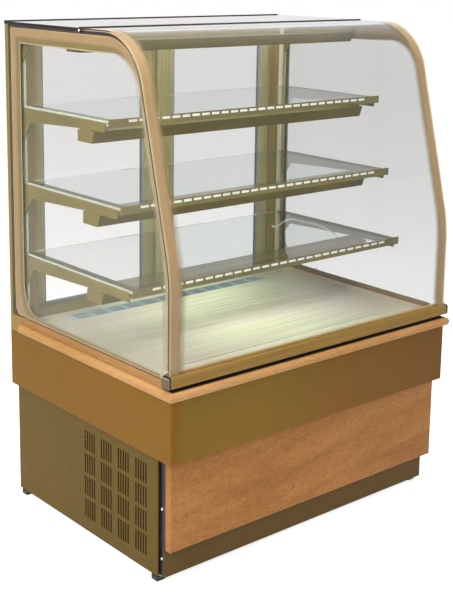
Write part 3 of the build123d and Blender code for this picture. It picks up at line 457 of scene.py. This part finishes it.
for number, (x, z) in enumerate(KEY_PLACES, 1):
    repeat(key, f"thermostat_key_{number}", (CONTROL_X + x, MODULE_FACE, CONTROL_Z + z), TO_THE_REAR,
           key_rubber)
bpy.data.objects.remove(key)
for number, x in enumerate((-FASCIA_SCREW_X, FASCIA_SCREW_X), 1):
    repeat(panel_screw, f"fascia_screw_{number}", (CONTROL_X + x, FASCIA_FACE, CONTROL_Z), TO_THE_REAR,
           bright_steel)
bpy.data.objects.remove(panel_screw)

# Kick plate: a folded steel plinth set back under the oak board, in a satin gold. Its paint is
# a little duller and browner than that of the side panels.
PLINTH_OLIVE, PLINTH_BROWN = (0.108, 0.068, 0.017), (0.124, 0.070, 0.016)
wear(gold_paint("plinth_paint", PLINTH_OLIVE, PLINTH_BROWN), "kick_plate")

# Front board: oak veneer on a core, with eased edges. The leaf shows dense short pores that
# rise slightly to the right, over a soft cathedral figure, under a thin satin lacquer.
OAK_DARK, OAK_MID, OAK_PALE = (0.330, 0.138, 0.033), (0.375, 0.164, 0.042), (0.425, 0.195, 0.058)
PORE_DARK = (0.72, 0.64, 0.56)


def oak(name, drawn, tone=(1, 1, 1), figure=14.0, slant=0.0, lacquer=0.45, pores=0.8):
    """Oak with a figure and pores drawn out along one axis, slanted in the front view."""
    dark, mid, pale = [tuple(share * part for share, part in zip(tone, colour))
                       for colour in (OAK_DARK, OAK_MID, OAK_PALE)]
    made = material(name, mid, lacquer, specular=0.18)
    rings = noise(made, figure, drawn, detail=3, slant=slant, swirl=0.5)
    cells = noise(made, 620, drawn, detail=2, shift=(3, 1, 2), slant=slant)
    rays = noise(made, 260, drawn, detail=2, shift=(1, 4, 2), slant=slant * 1.5)
    base = tones(made, rings, (0.32, dark), (0.46, mid), (0.60, pale), (0.74, mid))
    silver = tones(made, rays, (0.38, (0.86, 0.82, 0.78)), (0.60, (1, 1, 1)))
    grain = tones(made, cells, (0.40, PORE_DARK), (0.52, (1, 1, 1)))
    figured = over(made, over(made, base, silver, 0.7), grain, pores)
    link(made, figured, shader_of(made).inputs["Base Color"])
    gloss(made, cells, lacquer + 0.15, lacquer)
    relief(made, cells, 0.15, 0.0003)
    return made


wear(oak("oak_veneer", (6, 1, 1), slant=-8), "oak_panel")


# Belt: one painted sheet folded round the tub, in an old gold. Painted light and shade make its
# left side a warmer gold and its front darker and browner to the right. Inside it are the foam
# and a stainless liner.
def sideways(made):
    """How far to the right of the middle a point is."""
    spot = add(made, "TexCoord")
    split = add(made, "SeparateXYZ")
    link(made, spot.outputs["Object"], split.inputs["Vector"])
    return split.outputs["X"]


def shade(made, layer, amount):
    """Multiplies the colour that a material already has by one more pattern."""
    colour = shader_of(made).inputs["Base Color"]
    link(made, over(made, colour.links[0].from_socket, layer, amount), colour)


BELT_OLIVE, BELT_WARM, BELT_REACH = (0.190, 0.112, 0.014), (0.236, 0.112, 0.013), 0.480
BELT_PAINTED_SHADE = [(0.0, (1.0, 0.80, 0.45)), (0.02, (1.0, 0.80, 0.45)), (0.05, (1, 1, 1)), (0.30, (1, 1, 1)),
             (0.60, (0.86, 0.76, 0.90)), (1.0, (0.70, 0.62, 0.75))]
belt_paint = gold_paint("belt_paint", BELT_OLIVE, BELT_WARM, drift=1.3)
# Painted light and shade across the belt, from a warmer left side to a darker, browner right.
belt_shade_run = remap(belt_paint, sideways(belt_paint), -BELT_REACH, BELT_REACH)
shade(belt_paint, tones(belt_paint, belt_shade_run, *BELT_PAINTED_SHADE), 1.0)
wear(belt_paint, "belt_casing")
foam = material("tub_foam", (0.70, 0.60, 0.36), 0.9)
coat(foam, noise(foam, 120, detail=3), (0.4, (0.60, 0.50, 0.28)), (0.65, (0.76, 0.66, 0.42)))
relief(foam, noise(foam, 300), 0.5, 0.001)
wear(foam, "tub_insulation")


# Deck and liner: brushed stainless steel, streaked across the case. A painted pool of light
# makes the deck brightest in its middle, with painted shade towards its edges, and its
# green-gold tint is a painted reflection of the gold paint round it.
def brushed(name, low, high, roughness=0.5, metallic=0.3):
    """Brushed steel with streaks across the case."""
    made = material(name, low, roughness, metallic, specular=0.3)
    streaks = noise(made, 90, (40, 1, 1), detail=5)
    coat(made, streaks, (0.32, low), (0.68, high))
    gloss(made, streaks, roughness - 0.08, roughness + 0.1)
    relief(made, noise(made, 500, (50, 1, 1)), 0.1, 0.0001)
    return made


DECK_LIGHT_CENTRE, DECK_LIGHT_REACH = (0.03, 0.06, 0.50), 0.45
DECK_PAINTED_LIGHT = [(0.15, (1, 1, 1)), (0.35, (0.86, 0.87, 0.86)), (0.80, (0.56, 0.56, 0.60)),
             (1.0, (0.42, 0.40, 0.40))]
deck_steel = brushed("deck_steel", (0.74, 0.68, 0.50), (0.97, 0.91, 0.74))
# A painted pool of light on the middle of the deck, fading to painted shade at its edges.
deck_spot = add(deck_steel, "TexCoord")
away = add(deck_steel, "VectorMath", operation="DISTANCE")
away.inputs[1].default_value = DECK_LIGHT_CENTRE
link(deck_steel, deck_spot.outputs["Object"], away.inputs[0])
lit_middle = remap(deck_steel, away.outputs["Value"], 0, DECK_LIGHT_REACH, interpolation_type="SMOOTHSTEP")
shade(deck_steel, tones(deck_steel, lit_middle, *DECK_PAINTED_LIGHT), 1.0)
# A faint green cast in broad patches: painted reflection of the paint round the deck.
cast = tones(deck_steel, noise(deck_steel, 5, (3, 1, 1), detail=1), (0.40, (0.90, 1, 0.82)),
             (0.58, (1, 1, 1)))
shade(deck_steel, cast, 0.8)
wear(deck_steel, "deck_plate", "front_air_grille")
wear(brushed("tub_steel", (0.50, 0.50, 0.47), (0.62, 0.62, 0.59)), "tub_liner", "evaporator_shroud")

# Rear air grille: a punched steel strip in a flat blue-grey enamel, laid at the rear of the
# deck. A fine woven mesh in a darker shade of it lies just below and stops crumbs.
GRILLE_LOW, GRILLE_HIGH = (0.185, 0.245, 0.255), (0.225, 0.290, 0.295)
MESH_DROP, MESH_WIRE, MESH_MARGIN = 0.0010, 0.0004, 0.004
grille_enamel = material("grille_enamel", GRILLE_LOW, 0.45)
coat(grille_enamel, noise(grille_enamel, 60, (10, 1, 1), detail=4), (0.35, GRILLE_LOW),
     (0.65, GRILLE_HIGH))
relief(grille_enamel, noise(grille_enamel, 800), 0.1, 0.0002)
wear(grille_enamel, "rear_air_grille")
low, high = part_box("rear_air_grille")
mesh_place = ((low[0] + high[0]) / 2, (low[1] + high[1]) / 2, low[2] - MESH_DROP)
mesh_sheet = fresh("plane", size=1, location=mesh_place)
mesh_sheet.scale = (high[0] - low[0] - MESH_MARGIN, high[1] - low[1] - MESH_MARGIN, 1)
woven = material("woven_mesh", GRILLE_LOW, 0.6, specular=0.2)
coat(woven, noise(woven, 700, (3, 1, 1)), (0.4, (0.12, 0.16, 0.17)), (0.6, GRILLE_HIGH))
settle(mesh_sheet, "grille_mesh", "cabinet", woven)
apply(mesh_sheet, "SOLIDIFY", thickness=MESH_WIRE, offset=-1)

# Lint strip: dark woven nylon that lies under the slots of the front grille and catches lint;
# its dark is also painted shade under the slots. It is cut from a flat roll and slid in beneath
# the sheet.
LINT_SHADE_LENGTH, LINT_SHADE_WIDTH, LINT_SHADE_SKIN, LINT_SHADE_DROP = 0.800, 0.016, 0.0005, 0.0004
low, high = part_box("front_air_grille")
lint_shade_strip = fresh("plane", size=1, location=(0, (low[1] + high[1]) / 2, low[2] - LINT_SHADE_DROP))
lint_shade_strip.scale = (LINT_SHADE_LENGTH, LINT_SHADE_WIDTH, 1)
# The strip's dark nylon is painted shade under the grille's slots.
lint_shade_nylon = material("lint_shade_nylon", (0.060, 0.055, 0.035), 0.7, specular=0.1)
coat(lint_shade_nylon, noise(lint_shade_nylon, 900, (3, 1, 1)), (0.4, (0.035, 0.032, 0.020)),
     (0.6, (0.090, 0.082, 0.055)))
settle(lint_shade_strip, "grille_lint_shade_strip", "cabinet", lint_shade_nylon)
apply(lint_shade_strip, "SOLIDIFY", thickness=LINT_SHADE_SKIN, offset=-1)

# Bullnose trim and side strips: solid oak, oiled paler than the board, with its grain along
# each length and mitred at the front corners.
wear(oak("oak_front_trim", (16, 1, 1), (1.34, 1.62, 2.20), pores=0.5), "trim_front")
wear(oak("oak_side_trim", (1, 16, 1), (1.25, 1.56, 2.10), pores=0.5), "trim_sides")
wear(oak("oak_side_strip", (1, 16, 1), (0.92, 1.08, 1.25), pores=0.5), "side_sills")

# Rear corner blocks: painted castings under the rear posts, one at each side. Their gold is
# brighter than the belt's and has a closer mottle.
CORNER_GOLD, CORNER_BRIGHT = (0.290, 0.178, 0.045), (0.330, 0.205, 0.055)
wear(gold_paint("corner_gold", CORNER_GOLD, CORNER_BRIGHT, 0.4, drift=6), "rear_corner_blocks")


# Hinge bar, foot profile and its caps: the bar is black anodised, the profile is bright gold
# aluminium with draw lines, and the caps are moulded and pressed into its ends.
def anodised(name, low, high, roughness, lines, metallic=0.6):
    """Drawn aluminium with lines along the axis that lines draws out."""
    made = material(name, low, roughness, metallic, specular=0.15)
    streaks = noise(made, 300, lines, detail=3)
    bands = noise(made, 60, lines, detail=1, shift=(2, 3, 4))
    base = tones(made, streaks, (0.35, low), (0.65, high))
    bars = tones(made, bands, (0.38, (0.84, 0.84, 0.84)), (0.60, (1, 1, 1)))
    link(made, over(made, base, bars, 0.8), shader_of(made).inputs["Base Color"])
    gloss(made, streaks, roughness - 0.06, roughness + 0.06)
    return made


def from_middle(made):
    """How far a point is from the middle of the case, to either side."""
    reach = add(made, "Math", operation="ABSOLUTE")
    link(made, sideways(made), reach.inputs[0])
    return reach.outputs["Value"]


CAP_RIM_HIGHLIGHT, CAP_DARK, CAP_END = (0.300, 0.240, 0.140), (0.030, 0.018, 0.010), (0.110, 0.080, 0.042)
CAP_INNER, CAP_OUTER = 0.4750, 0.4850
wear(anodised("black_rail", (0.010, 0.010, 0.011), (0.020, 0.020, 0.021), 0.35, (60, 1, 1)),
     "hinge_rail")
wear(anodised("gold_profile", (0.225, 0.128, 0.025), (0.290, 0.168, 0.038), 0.40, (60, 1, 1), 0.2),
     "front_profile")
# The caps are dark brown plastic; the pale bands at their rims are painted highlights.
cap_plastic = material("cap_plastic", (0.060, 0.040, 0.022), 0.4, specular=0.2)
cap_run = remap(cap_plastic, from_middle(cap_plastic), CAP_INNER, CAP_OUTER)
coat(cap_plastic, cap_run, (0.0, CAP_RIM_HIGHLIGHT), (0.12, CAP_RIM_HIGHLIGHT), (0.25, CAP_DARK), (0.78, CAP_DARK),
     (0.84, CAP_RIM_HIGHLIGHT), (0.93, CAP_RIM_HIGHLIGHT), (0.97, CAP_END))
relief(cap_plastic, noise(cap_plastic, 1500), 0.15, 0.0001)
wear(cap_plastic, "profile_caps")

# Sill gasket: a flat black rubber strip on the front trim, under the foot profile, which keeps
# crumbs out of the hinge. Its black is partly painted shade of the deep gap under the profile.
# It is bonded down clear of the profile's swing.
SILL_LENGTH, SILL_FRONT, SILL_REAR = 0.946, -0.3500, -0.3330
SILL_LOW, SILL_HIGH, SILL_EASE = 0.49505, 0.49640, 0.0004
# The strip's black is partly painted shade of the gap under the profile.
sill_rubber = moulded("sill_rubber", (0.006, 0.004, 0.004), 0.8, 900)
sill = block((0, (SILL_FRONT + SILL_REAR) / 2, (SILL_LOW + SILL_HIGH) / 2),
             (SILL_LENGTH, SILL_REAR - SILL_FRONT, SILL_HIGH - SILL_LOW), SILL_EASE)
settle(sill, "sill_gasket", "cabinet", sill_rubber)

# Side glazing: sealed double panes of clear glass, the left with a slight grey cast; the right
# pane's deeper grey is painted shade. Lamps shine straight through them, so that the inside is
# well lit.
GLASS_IOR = 1.25


def two_ways(made, factor, first, second):
    """Mixes two shaders by a factor and joins them to the output of a material."""
    mix = add(made, "MixShader")
    link(made, factor, mix.inputs[0])
    link(made, first.outputs[0], mix.inputs[1])
    link(made, second.outputs[0], mix.inputs[2])
    link(made, mix.outputs[0], made.node_tree.nodes["Material Output"].inputs["Surface"])


def glass(name, tint):
    """Clear glass of one tint, with an anti-glare bloom that keeps its reflections low."""
    made = material(name, tint, 0.0)
    shader = shader_of(made)
    shader.inputs["Transmission Weight"].default_value = 1
    shader.inputs["IOR"].default_value = GLASS_IOR
    clear = add(made, "BsdfTransparent")
    clear.inputs["Color"].default_value = (0.96, 0.97, 0.96, 1)
    path = add(made, "LightPath")
    two_ways(made, path.outputs["Is Shadow Ray"], shader, clear)
    return made


wear(glass("left_pane_glass", (0.94, 0.94, 0.935)), "side_glass_left")
# The right pane's deeper grey is painted shade.
wear(glass("right_pane_glass", (0.63, 0.63, 0.63)), "side_glass_right")

# Printed borders of the side panes: a tan ceramic frit fired on inside the edge, which hides
# the seal. At the front it thins to a cream haze, at the rear it is wide, and it fades inwards.
# The thin pale line next to its dark outer edge is a painted highlight of the glass edge.
FRIT_TAN, FRIT_EDGE_HIGHLIGHT, FRIT_OLIVE = (0.242, 0.160, 0.072), (0.420, 0.335, 0.200), (0.140, 0.102, 0.034)
PRIMER, FRIT_RIM, HAZE = (0.028, 0.013, 0.006), (0.290, 0.250, 0.130), (0.260, 0.215, 0.125)
HAZE_RUN, SOLID_RUN, FADE_END = (0.22, 0.50), (0.25, 0.75), 1.02


def frit(name, stops, front_stops, front_solid, rear_solid):
    """Enamel toned across its width; past a share of it, it fades to clear glass."""
    made = material(name, FRIT_TAN, 0.5, specular=0.3)
    across = add(made, "UVMap", uv_map="border")
    split = add(made, "SeparateXYZ")
    link(made, across.outputs["UV"], split.inputs["Vector"])
    blend = add(made, "Mix", data_type="RGBA")
    link(made, remap(made, split.outputs["X"], *HAZE_RUN), blend.inputs["Factor"])
    link(made, tones(made, split.outputs["Y"], *front_stops), blend.inputs["A"])
    link(made, tones(made, split.outputs["Y"], *stops), blend.inputs["B"])
    streaks = tones(made, noise(made, 90, (1, 14, 14), detail=2), (0.4, (0.92, 0.90, 0.88)),
                    (0.6, (1, 1, 1)))
    printed = over(made, blend.outputs["Result"], streaks, 0.7)
    link(made, printed, shader_of(made).inputs["Base Color"])
    solid = remap(made, split.outputs["X"], *SOLID_RUN, front_solid, rear_solid)
    fade = add(made, "MapRange", interpolation_type="SMOOTHSTEP", from_max=FADE_END)
    link(made, solid, fade.inputs["From Min"])
    link(made, split.outputs["Y"], fade.inputs["Value"])
    two_ways(made, fade.outputs["Result"], shader_of(made), add(made, "BsdfTransparent"))
    return made


PANE_FACE, KNEE_LEVEL, LEAN = -0.3445, 0.64, 14.1
KNEE, KNEE_RADIUS, KNEE_STEPS = (0.0555, 0.71153), 0.400, 6
SHOULDER, SHOULDER_RADIUS, SHOULDER_STEPS = (-0.0946, 1.1400), 0.150, 20


def turn_point(centre, radius, angle):
    """A point of an arc in the side view, as (y, z), with angles from the rear."""
    return (centre[0] + radius * cos(radians(angle)), centre[1] + radius * sin(radians(angle)))


def pane_points(inset, foot):
    """The bent pane's side line, set in by a distance: a foot, a knee, a lean and a shoulder."""
    line = [(PANE_FACE + inset, foot), (PANE_FACE + inset, KNEE_LEVEL)]
    line += [turn_point(KNEE, KNEE_RADIUS - inset, 180 - LEAN * step / KNEE_STEPS)
             for step in range(KNEE_STEPS + 1)]
    line += [turn_point(SHOULDER, SHOULDER_RADIUS - inset,
                        180 - LEAN - (90 - LEAN) * step / SHOULDER_STEPS)
             for step in range(SHOULDER_STEPS + 1)]
    return line


def ribbon(outer, inner, place):
    """A flat band between two lines, with a map that runs from its outer side to its inner."""
    count = len(outer)
    made = fresh("grid", x_subdivisions=count - 1, y_subdivisions=1, size=2)
    border = made.data.uv_layers.new(name="border")
    for vertex in made.data.vertices:
        step = round((vertex.co.x + 1) / 2 * (count - 1))
        line = inner if vertex.co.y > 0 else outer
        vertex.co = place(*line[step])
    for face in made.data.polygons:
        for corner in face.loop_indices:
            number = made.data.loops[corner].vertex_index
            border.data[corner].uv = (number % count / count, number // count)
    return made


SIDE_FRIT_X, SIDE_FRIT_INSET, SIDE_FRIT_FOOT = 0.4690, 0.0083, 0.5400
FRIT_FRONT, FRIT_TOP = 0.031, 0.045
# The pale stop next to the dark outer edge is a painted highlight of the glass edge.
side_stops = [(0.0, PRIMER), (0.12, PRIMER), (0.15, FRIT_EDGE_HIGHLIGHT), (0.18, FRIT_TAN), (0.52, FRIT_TAN),
              (0.70, FRIT_OLIVE), (0.91, FRIT_OLIVE), (0.95, FRIT_RIM)]
haze_stops = [(0.0, PRIMER), (0.22, PRIMER), (0.26, HAZE)]
side_frit = frit("side_frit", side_stops, haze_stops, 0.16, 0.98)
front_line = pane_points(SIDE_FRIT_INSET, SIDE_FRIT_FOOT)
widths = [FRIT_FRONT] * (2 + KNEE_STEPS + 1)
widths += [FRIT_FRONT + (FRIT_TOP - FRIT_FRONT) * step / SHOULDER_STEPS
           for step in range(SHOULDER_STEPS + 1)]
inner_line = [pane_points(SIDE_FRIT_INSET + width, SIDE_FRIT_FOOT)[number]
              for number, width in enumerate(widths)]
REAR_OUTER = [(0.3412, 1.2817), (0.3412, 0.610), (0.3412, 0.570), (0.3412, 0.530), (0.330, 0.5155),
              (0.280, 0.5155), (0.100, 0.5155), (-0.300, 0.5155)]
REAR_INNER = [(0.2875, 1.2367), (0.2875, 0.610), (0.2845, 0.586), (0.2715, 0.555), (0.2485, 0.535),
              (0.2045, 0.529), (0.100, 0.528), (-0.300, 0.526)]
for side, side_name in SIDES:
    band = ribbon(front_line + REAR_OUTER, inner_line + REAR_INNER,
                  lambda y, z: (side * SIDE_FRIT_X, y, z))
    settle(band, f"side_frit_{side_name}", "cabinet", side_frit)

# Bent front pane: float glass slumped over a mould, glued into the foot profile. Its upright
# edges carry a tan border like that of the sides, which fades towards the middle. The pale band
# at the border's outer edge is a painted highlight of the glass edge.
PANE_EDGE, PANE_FRIT, PANE_FRIT_INSET, PANE_FRIT_FOOT = 0.4747, 0.048, 0.0050, 0.5240
PANE_JOINT, PANE_TOP = 0.0040, 1.290
wear(glass("front_pane_glass", (0.92, 0.925, 0.92)), "front_glass")
# The pale outer band is a painted highlight of the pane's edge.
pane_stops = [(0.0, FRIT_EDGE_HIGHLIGHT), (0.05, FRIT_EDGE_HIGHLIGHT), (0.09, FRIT_TAN), (0.50, FRIT_TAN), (0.80, FRIT_OLIVE)]
pane_frit = frit("pane_frit", pane_stops, pane_stops, 0.42, 0.42)
pane_side = pane_points(PANE_FRIT_INSET, PANE_FRIT_FOOT) + [(PANE_JOINT, PANE_TOP - PANE_FRIT_INSET)]
for side, side_name in SIDES:
    band = ribbon([(PANE_EDGE, *point) for point in pane_side],
                  [(PANE_EDGE - PANE_FRIT, *point) for point in pane_side],
                  lambda x, y, z: (side * x, y, z))
    settle(band, f"pane_frit_{side_name}", "front_pane", pane_frit)
    bpy.ops.object.shade_smooth()

# Seals: matt black rubber strips on the edges of the side panes, and flat lips bonded along
# the joint and the rear edge of the top glass.
rubber = material("black_rubber", (0.010, 0.009, 0.009), 0.7)
coat(rubber, noise(rubber, 40, detail=3), (0.4, (0.010, 0.008, 0.008)), (0.7, (0.022, 0.016, 0.014)))
relief(rubber, noise(rubber, 700), 0.2, 0.0002)
wear(rubber, "side_seals")

# Top glass and its corner clips: a flat pane whose faint warm cast is a painted reflection, its
# two ends painted black over the seals. A black clip with a white plug holds it at each end of
# the joint.
# The pane's faint pink tint is a painted reflection.
TOP_TINT, EDGE_BLACK, EDGE_BAND = (0.93, 0.86, 0.885), (0.012, 0.009, 0.008), 0.0030
CLIP_PLACE, CLIP_SIZE, CLIP_EASE = (0.4762, 0.0080, 1.2845), (0.0022, 0.0120, 0.0110), 0.0009
PLUG_RADIUS, PLUG_HEIGHT = 0.0027, 0.0012
top_pane = glass("top_pane_glass", TOP_TINT)
low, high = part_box("top_glass")
inside = add(top_pane, "Math", operation="LESS_THAN")
inside.inputs[1].default_value = high[0] - EDGE_BAND
link(top_pane, from_middle(top_pane), inside.inputs[0])
link(top_pane, inside.outputs["Value"], shader_of(top_pane).inputs["Transmission Weight"])
coat(top_pane, inside.outputs["Value"], (0.4, EDGE_BLACK), (0.6, TOP_TINT))
wear(top_pane, "top_glass")
white_nylon = moulded("white_nylon", (0.80, 0.79, 0.76), 0.4, 900)
for side, side_name in SIDES:
    x, y, z = CLIP_PLACE
    clip = block((side * x, y, z), CLIP_SIZE, CLIP_EASE, 3)
    settle(clip, f"joint_clip_{side_name}", "cabinet", black_plastic)
    plug = socket_screw(PLUG_RADIUS, PLUG_HEIGHT)
    plug.location = (side * (x + CLIP_SIZE[0] / 2), y, z)
    plug.rotation_euler = (0, side * radians(90), 0)
    settle(plug, f"joint_plug_{side_name}", "cabinet", white_nylon)

# Rear frame: hollow posts and door tracks of drawn aluminium, anodised a dull olive champagne,
# with the draw lines along each length.
OLIVE, OLIVE_PALE = (0.205, 0.155, 0.045), (0.270, 0.215, 0.075)
wear(anodised("post_aluminium", OLIVE, OLIVE_PALE, 0.42, (1, 1, 80), 0.35), "rear_posts")
wear(anodised("rail_aluminium", OLIVE, OLIVE_PALE, 0.42, (80, 1, 1), 0.35), "rear_bottom_rail",
     "rear_top_rail")

# Sliding doors: a paler champagne aluminium than the posts round grey-tinted panes, whose grey
# is painted shade, on white nylon shoes. A rubber channel lines each opening and holds the
# pane; its blue-grey is a painted reflection.
DOOR_OLIVE, DOOR_PALE = (0.310, 0.275, 0.125), (0.390, 0.350, 0.180)
GASKET_WALL, GASKET_DEPTH, DOOR_GROOVE = 0.0030, 0.0043, 0.0060
wear(anodised("door_aluminium", DOOR_OLIVE, DOOR_PALE, 0.40, (1, 1, 80), 0.3), "door_left_frame",
     "door_right_frame")
wear(moulded("glide_nylon", (0.75, 0.74, 0.70), 0.5), "door_left_glides", "door_right_glides")
# The door panes' grey is painted shade.
wear(glass("door_pane_glass", (0.73, 0.725, 0.725)), "door_left_glass", "door_right_glass")
# The channel's blue-grey is a painted reflection.
gasket_rubber = moulded("gasket_rubber", (0.170, 0.185, 0.215), 0.55, 900)
for door in ("left", "right"):
    low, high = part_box(f"door_{door}_glass")
    width, height = high[0] - low[0] - 2 * DOOR_GROOVE, high[2] - low[2] - 2 * DOOR_GROOVE
    for place, start in (("inner", low[1] - GASKET_DEPTH), ("outer", high[1])):
        gasket = fresh("plane", size=1, rotation=(radians(90), 0, 0),
                       location=((low[0] + high[0]) / 2, start, (low[2] + high[2]) / 2))
        gasket.scale = (width, height, 1)
        bpy.ops.object.transform_apply(location=True, rotation=True, scale=True)
        edit(gasket, lambda face: True)
        bpy.ops.mesh.inset(thickness=GASKET_WALL)
        bpy.ops.mesh.delete(type="FACE")
        bpy.ops.mesh.select_all(action="SELECT")
        bpy.ops.mesh.extrude_region_move(TRANSFORM_OT_translate={"value": (0, GASKET_DEPTH, 0)})
        bpy.ops.mesh.select_all(action="SELECT")
        bpy.ops.mesh.normals_make_consistent(inside=False)
        bpy.ops.object.mode_set(mode="OBJECT")
        settle(gasket, f"door_{door}_gasket_{place}", f"{door}_door", gasket_rubber)

# Shelf uprights: champagne channels screwed to the posts; their pale tone is partly the
# channel's own and partly a painted highlight along its edge. A black punched strip at the back
# of the groove takes the brackets' hooks; its black is painted shade in the groove.
UPRIGHT_TONE, UPRIGHT_PALE = (0.430, 0.400, 0.260), (0.530, 0.500, 0.350)
STRIP_X, STRIP_Y, STRIP_WIDTH, STRIP_THICK = 0.4550, 0.30842, 0.0088, 0.00016
STRIP_LOW, STRIP_HIGH, STRIP_HOLES = 0.5150, 1.2795, 40
STRIP_ROWS = 2 * STRIP_HOLES + 1
# The uprights' pale tone is partly a painted highlight along their edges.
wear(anodised("upright_aluminium", UPRIGHT_TONE, UPRIGHT_PALE, 0.42, (1, 1, 80), 0.2), "shelf_uprights")
# The strip's black is painted shade at the back of the groove.
punched = material("punched_strip", (0.012, 0.012, 0.012), 0.45)
coat(punched, noise(punched, 200, (1, 1, 8)), (0.4, (0.009, 0.009, 0.009)), (0.7, (0.02, 0.02, 0.02)))


def is_hole(face):
    """Whether a face of the strip is in its middle column and in every second row."""
    return abs(face.center.x) < 0.1 and int((face.center.y + 0.5) * STRIP_ROWS) % 2 == 1


for side, side_name in SIDES:
    strip = fresh("grid", x_subdivisions=3, y_subdivisions=STRIP_ROWS, size=1,
                  rotation=(radians(90), 0, 0),
                  location=(side * STRIP_X, STRIP_Y, (STRIP_LOW + STRIP_HIGH) / 2))
    strip.scale = (STRIP_WIDTH, STRIP_HIGH - STRIP_LOW, 1)
    edit(strip, is_hole)
    bpy.ops.mesh.delete(type="FACE")
    bpy.ops.object.mode_set(mode="OBJECT")
    settle(strip, f"punched_strip_{side_name}", "cabinet", punched)
    apply(strip, "SOLIDIFY", thickness=STRIP_THICK, offset=0)

# Shelf metalwork: pressed brackets and lamp troughs in a plain olive gold, and slotted front
# rails in a greyer one. The brackets hook into the uprights and carry the rest.
SHELF_TONE, SHELF_PALE = (0.112, 0.096, 0.030), (0.138, 0.116, 0.036)
BRACKET_TONE, BRACKET_PALE = (0.096, 0.076, 0.014), (0.122, 0.096, 0.018)
wear(gold_paint("shelf_paint", SHELF_TONE, SHELF_PALE, 0.4, drift=4), "shelf_1_rail",
     "shelf_2_rail", "shelf_3_rail")
wear(gold_paint("bracket_paint", BRACKET_TONE, BRACKET_PALE, 0.4, drift=4), "shelf_brackets_left",
     "shelf_brackets_right", "lamp_housings")

# Glass shelves: clear panes with a green cast. The front edge of each is ground and polished
# white, and shows through the slots of its rail; the two side edges are a grey-green.
EDGE_GAP, EDGE_THICK = 0.00005, 0.00018
wear(glass("shelf_pane_glass", (0.84, 0.885, 0.860)), "shelf_1_glass", "shelf_2_glass", "shelf_3_glass")
ground_edge = material("ground_edge", (0.75, 0.77, 0.73), 0.35, specular=0.2)
coat(ground_edge, noise(ground_edge, 500, (6, 1, 1)), (0.4, (0.68, 0.70, 0.66)),
     (0.6, (0.80, 0.82, 0.78)))
arris = material("arris_edge", (0.30, 0.33, 0.27), 0.35, specular=0.2)
coat(arris, noise(arris, 500, (1, 6, 1)), (0.4, (0.26, 0.29, 0.23)), (0.6, (0.36, 0.39, 0.32)))
for number in (1, 2, 3):
    low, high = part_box(f"shelf_{number}_glass")
    middle = [(a + b) / 2 for a, b in zip(low, high)]
    size = [b - a for a, b in zip(low, high)]
    off = EDGE_GAP + EDGE_THICK / 2
    strips = [("front", (middle[0], low[1] - off, middle[2]), (size[0], EDGE_THICK, size[2]), ground_edge),
              ("left", (low[0] - off, middle[1], middle[2]), (EDGE_THICK, size[1], size[2]), arris),
              ("right", (high[0] + off, middle[1], middle[2]), (EDGE_THICK, size[1], size[2]), arris)]
    for side_name, place, extent, finish in strips:
        settle(block(place, extent), f"shelf_{number}_edge_{side_name}", "cabinet", finish)

# Lamps: opal tubes in the troughs under each shelf, fed by a pale lead that leaves the right
# post and runs along the lowest bracket into its trough.
diffuser = material("lamp_diffuser", (0.86, 0.86, 0.84), 0.35)
shader_of(diffuser).inputs["Subsurface Weight"].default_value = 0.2
shader_of(diffuser).inputs["Subsurface Scale"].default_value = 0.005
coat(diffuser, noise(diffuser, 30, (8, 1, 1)), (0.4, (0.82, 0.82, 0.80)), (0.6, (0.90, 0.90, 0.88)))
wear(diffuser, "lamp_tubes")
wear(moulded("lead_plastic", (0.86, 0.85, 0.78), 0.45, 600), "lamp_lead")
